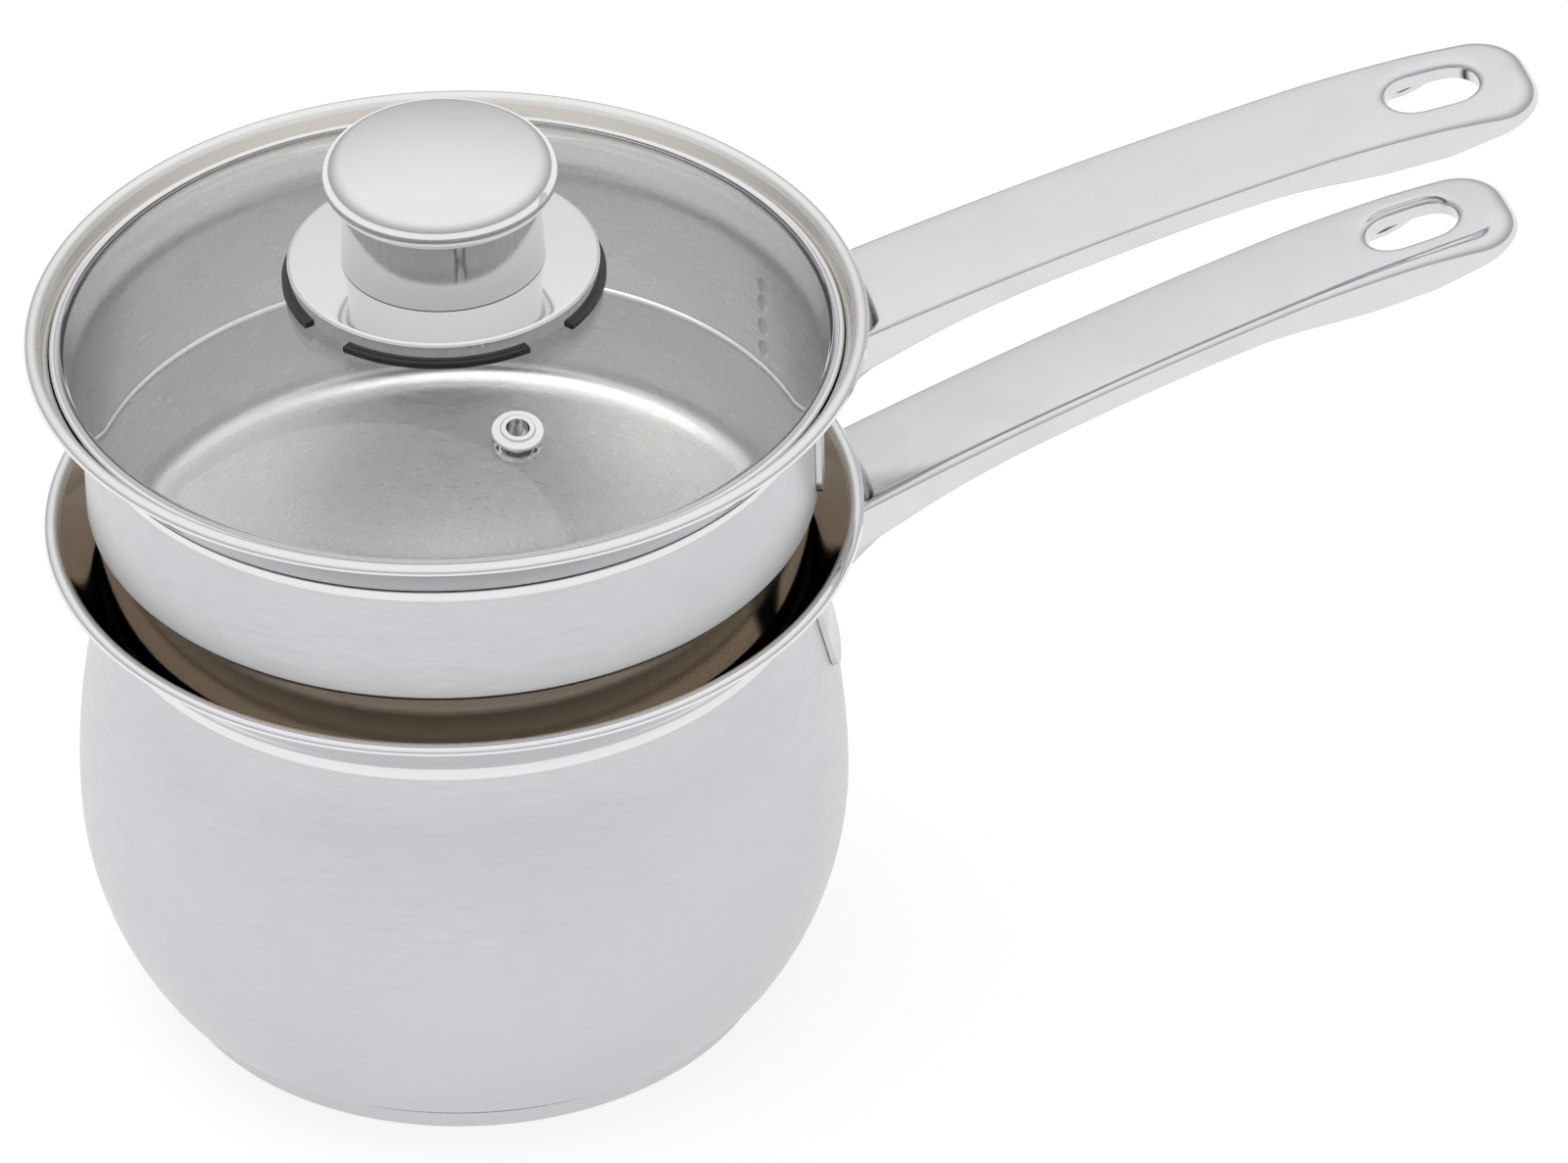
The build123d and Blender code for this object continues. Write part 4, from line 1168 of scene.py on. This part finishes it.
def studio_world():
    """Soft tent, white above and a little dimmer at the horizon, the same for every kind of ray."""
    world = bpy.data.worlds.new("Studio")
    bpy.context.scene.world = world
    world.use_nodes = True
    graph = Graph(world.node_tree)
    back = world.node_tree.nodes["Background"]
    away = graph.add("ShaderNodeTexCoord").outputs["Generated"]
    height = graph.add("ShaderNodeSeparateXYZ", (0, away)).outputs[2]
    back.inputs["Color"].default_value = (1, 1, 1, 1)
    graph.set(back.inputs["Strength"], graph.ramp(height, 0.0, 0.8, 0.5, 1.05))


def floor_material(tint):
    """Pale floor: white to the camera and in metal and glass, its shadow kept."""
    look = bpy.data.materials.new("Studio floor")
    look.use_nodes = True
    graph = Graph(look.node_tree)
    nodes = look.node_tree.nodes
    nodes.remove(nodes["Principled BSDF"])
    path = graph.add("ShaderNodeLightPath").outputs
    plain = graph.add("ShaderNodeBsdfDiffuse", ("Color", (*tint, 1)))
    faint = graph.add("ShaderNodeBsdfDiffuse", ("Color", (0.26, 0.26, 0.26, 1)))
    glow = graph.add("ShaderNodeEmission", ("Color", (1, 1, 1, 1)), ("Strength", 0.78))
    both = graph.add("ShaderNodeAddShader")
    graph.set(both.inputs[0], faint.outputs[0])
    graph.set(both.inputs[1], glow.outputs[0])
    mix = graph.add("ShaderNodeMixShader")
    through = graph.math("MAXIMUM", path["Is Glossy Ray"], path["Is Transmission Ray"])
    graph.set(mix.inputs[0], graph.math("MAXIMUM", path["Is Camera Ray"], through))
    graph.set(mix.inputs[1], plain.outputs[0])
    graph.set(mix.inputs[2], both.outputs[0])
    graph.set(nodes["Material Output"].inputs["Surface"], mix.outputs[0])
    return look


class BOILER_OT_stage(BoilerOperator, bpy.types.Operator):
    """Set up the finishes, the floor, the soft light and the camera"""
    bl_idname = "boiler.stage"
    bl_label = "Stage and finishes"

    def execute(self, context):
        scene = context.scene
        scene.view_settings.view_transform = "Standard"
        make_finishes()
        studio_world()
        corners = [(x * FLOOR_REACH, y * FLOOR_REACH, 0) for x, y in ((-1, -1), (1, -1), (1, 1), (-1, 1))]
        look = floor_material(scene.boiler_finishes.floor)
        floor = make_piece("studio_floor", corners, [[0, 1, 2, 3]], look)
        lamp = bpy.data.objects.new("soft_lamp", bpy.data.lights.new("soft_lamp", "AREA"))
        lamp.data.shape, lamp.data.size = "DISK", 1.4
        lamp.data.energy = 6
        lamp.location = (-0.3, 0.2, 1.6)
        lamp.rotation_euler = Vector((-0.3, 0.2, 1.5)).to_track_quat("Z", "Y").to_euler()
        lamp.visible_glossy = False
        scene.collection.objects.link(lamp)
        data = bpy.data.cameras.new("photo_camera")
        data.sensor_fit, data.sensor_width, data.lens = "HORIZONTAL", 36, CAMERA_LENS
        data.clip_start, data.clip_end = 0.1, 50
        camera = bpy.data.objects.new("photo_camera", data)
        azimuth, elevation, roll = (radians(turn) for turn in CAMERA_TURNS)
        right = Vector((cos(azimuth), sin(azimuth), 0))
        back = Vector((sin(azimuth) * cos(elevation), -cos(azimuth) * cos(elevation),
                       sin(elevation)))
        up = back.cross(right)
        side = right * cos(roll) + up * sin(roll)
        over = up * cos(roll) - right * sin(roll)
        turn = Matrix((side, over, back)).transposed().to_4x4()
        camera.matrix_world = Matrix.Translation(CAMERA_TARGET + back * CAMERA_DISTANCE) @ turn
        scene.collection.objects.link(camera)
        scene.camera = camera
        return {"FINISHED"}


class BOILER_PT_pieces(bpy.types.Panel):
    """Buttons for each group of pieces"""
    bl_label = "Double boiler"
    bl_idname = "BOILER_PT_pieces"
    bl_space_type = "VIEW_3D"
    bl_region_type = "UI"
    bl_category = "Boiler"

    def draw(self, context):
        for operator in STEPS:
            self.layout.operator(operator.bl_idname)


STEPS = (BOILER_OT_stage, BOILER_OT_pot, BOILER_OT_insert, BOILER_OT_lid, BOILER_OT_knob,
         BOILER_OT_handles)
GROUPS = {"boiler_pot": PotSizes, "boiler_pan": PanSizes, "boiler_lid": LidSizes,
          "boiler_knob": KnobSizes, "boiler_handle": HandleSizes, "boiler_finishes": Finishes}


def register():
    for part in (*GROUPS.values(), *STEPS, BOILER_PT_pieces):
        bpy.utils.register_class(part)
    for name, group in GROUPS.items():
        setattr(bpy.types.Scene, name, PointerProperty(type=group))


def unregister():
    for name in GROUPS:
        delattr(bpy.types.Scene, name)
    for part in (BOILER_PT_pieces, *STEPS[::-1], *list(GROUPS.values())[::-1]):
        bpy.utils.unregister_class(part)


def main():
    """Register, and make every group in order."""
    register()
    for operator in STEPS:
        group, name = operator.bl_idname.split(".")
        getattr(getattr(bpy.ops, group), name)()


if __name__ == "__main__":
    main()
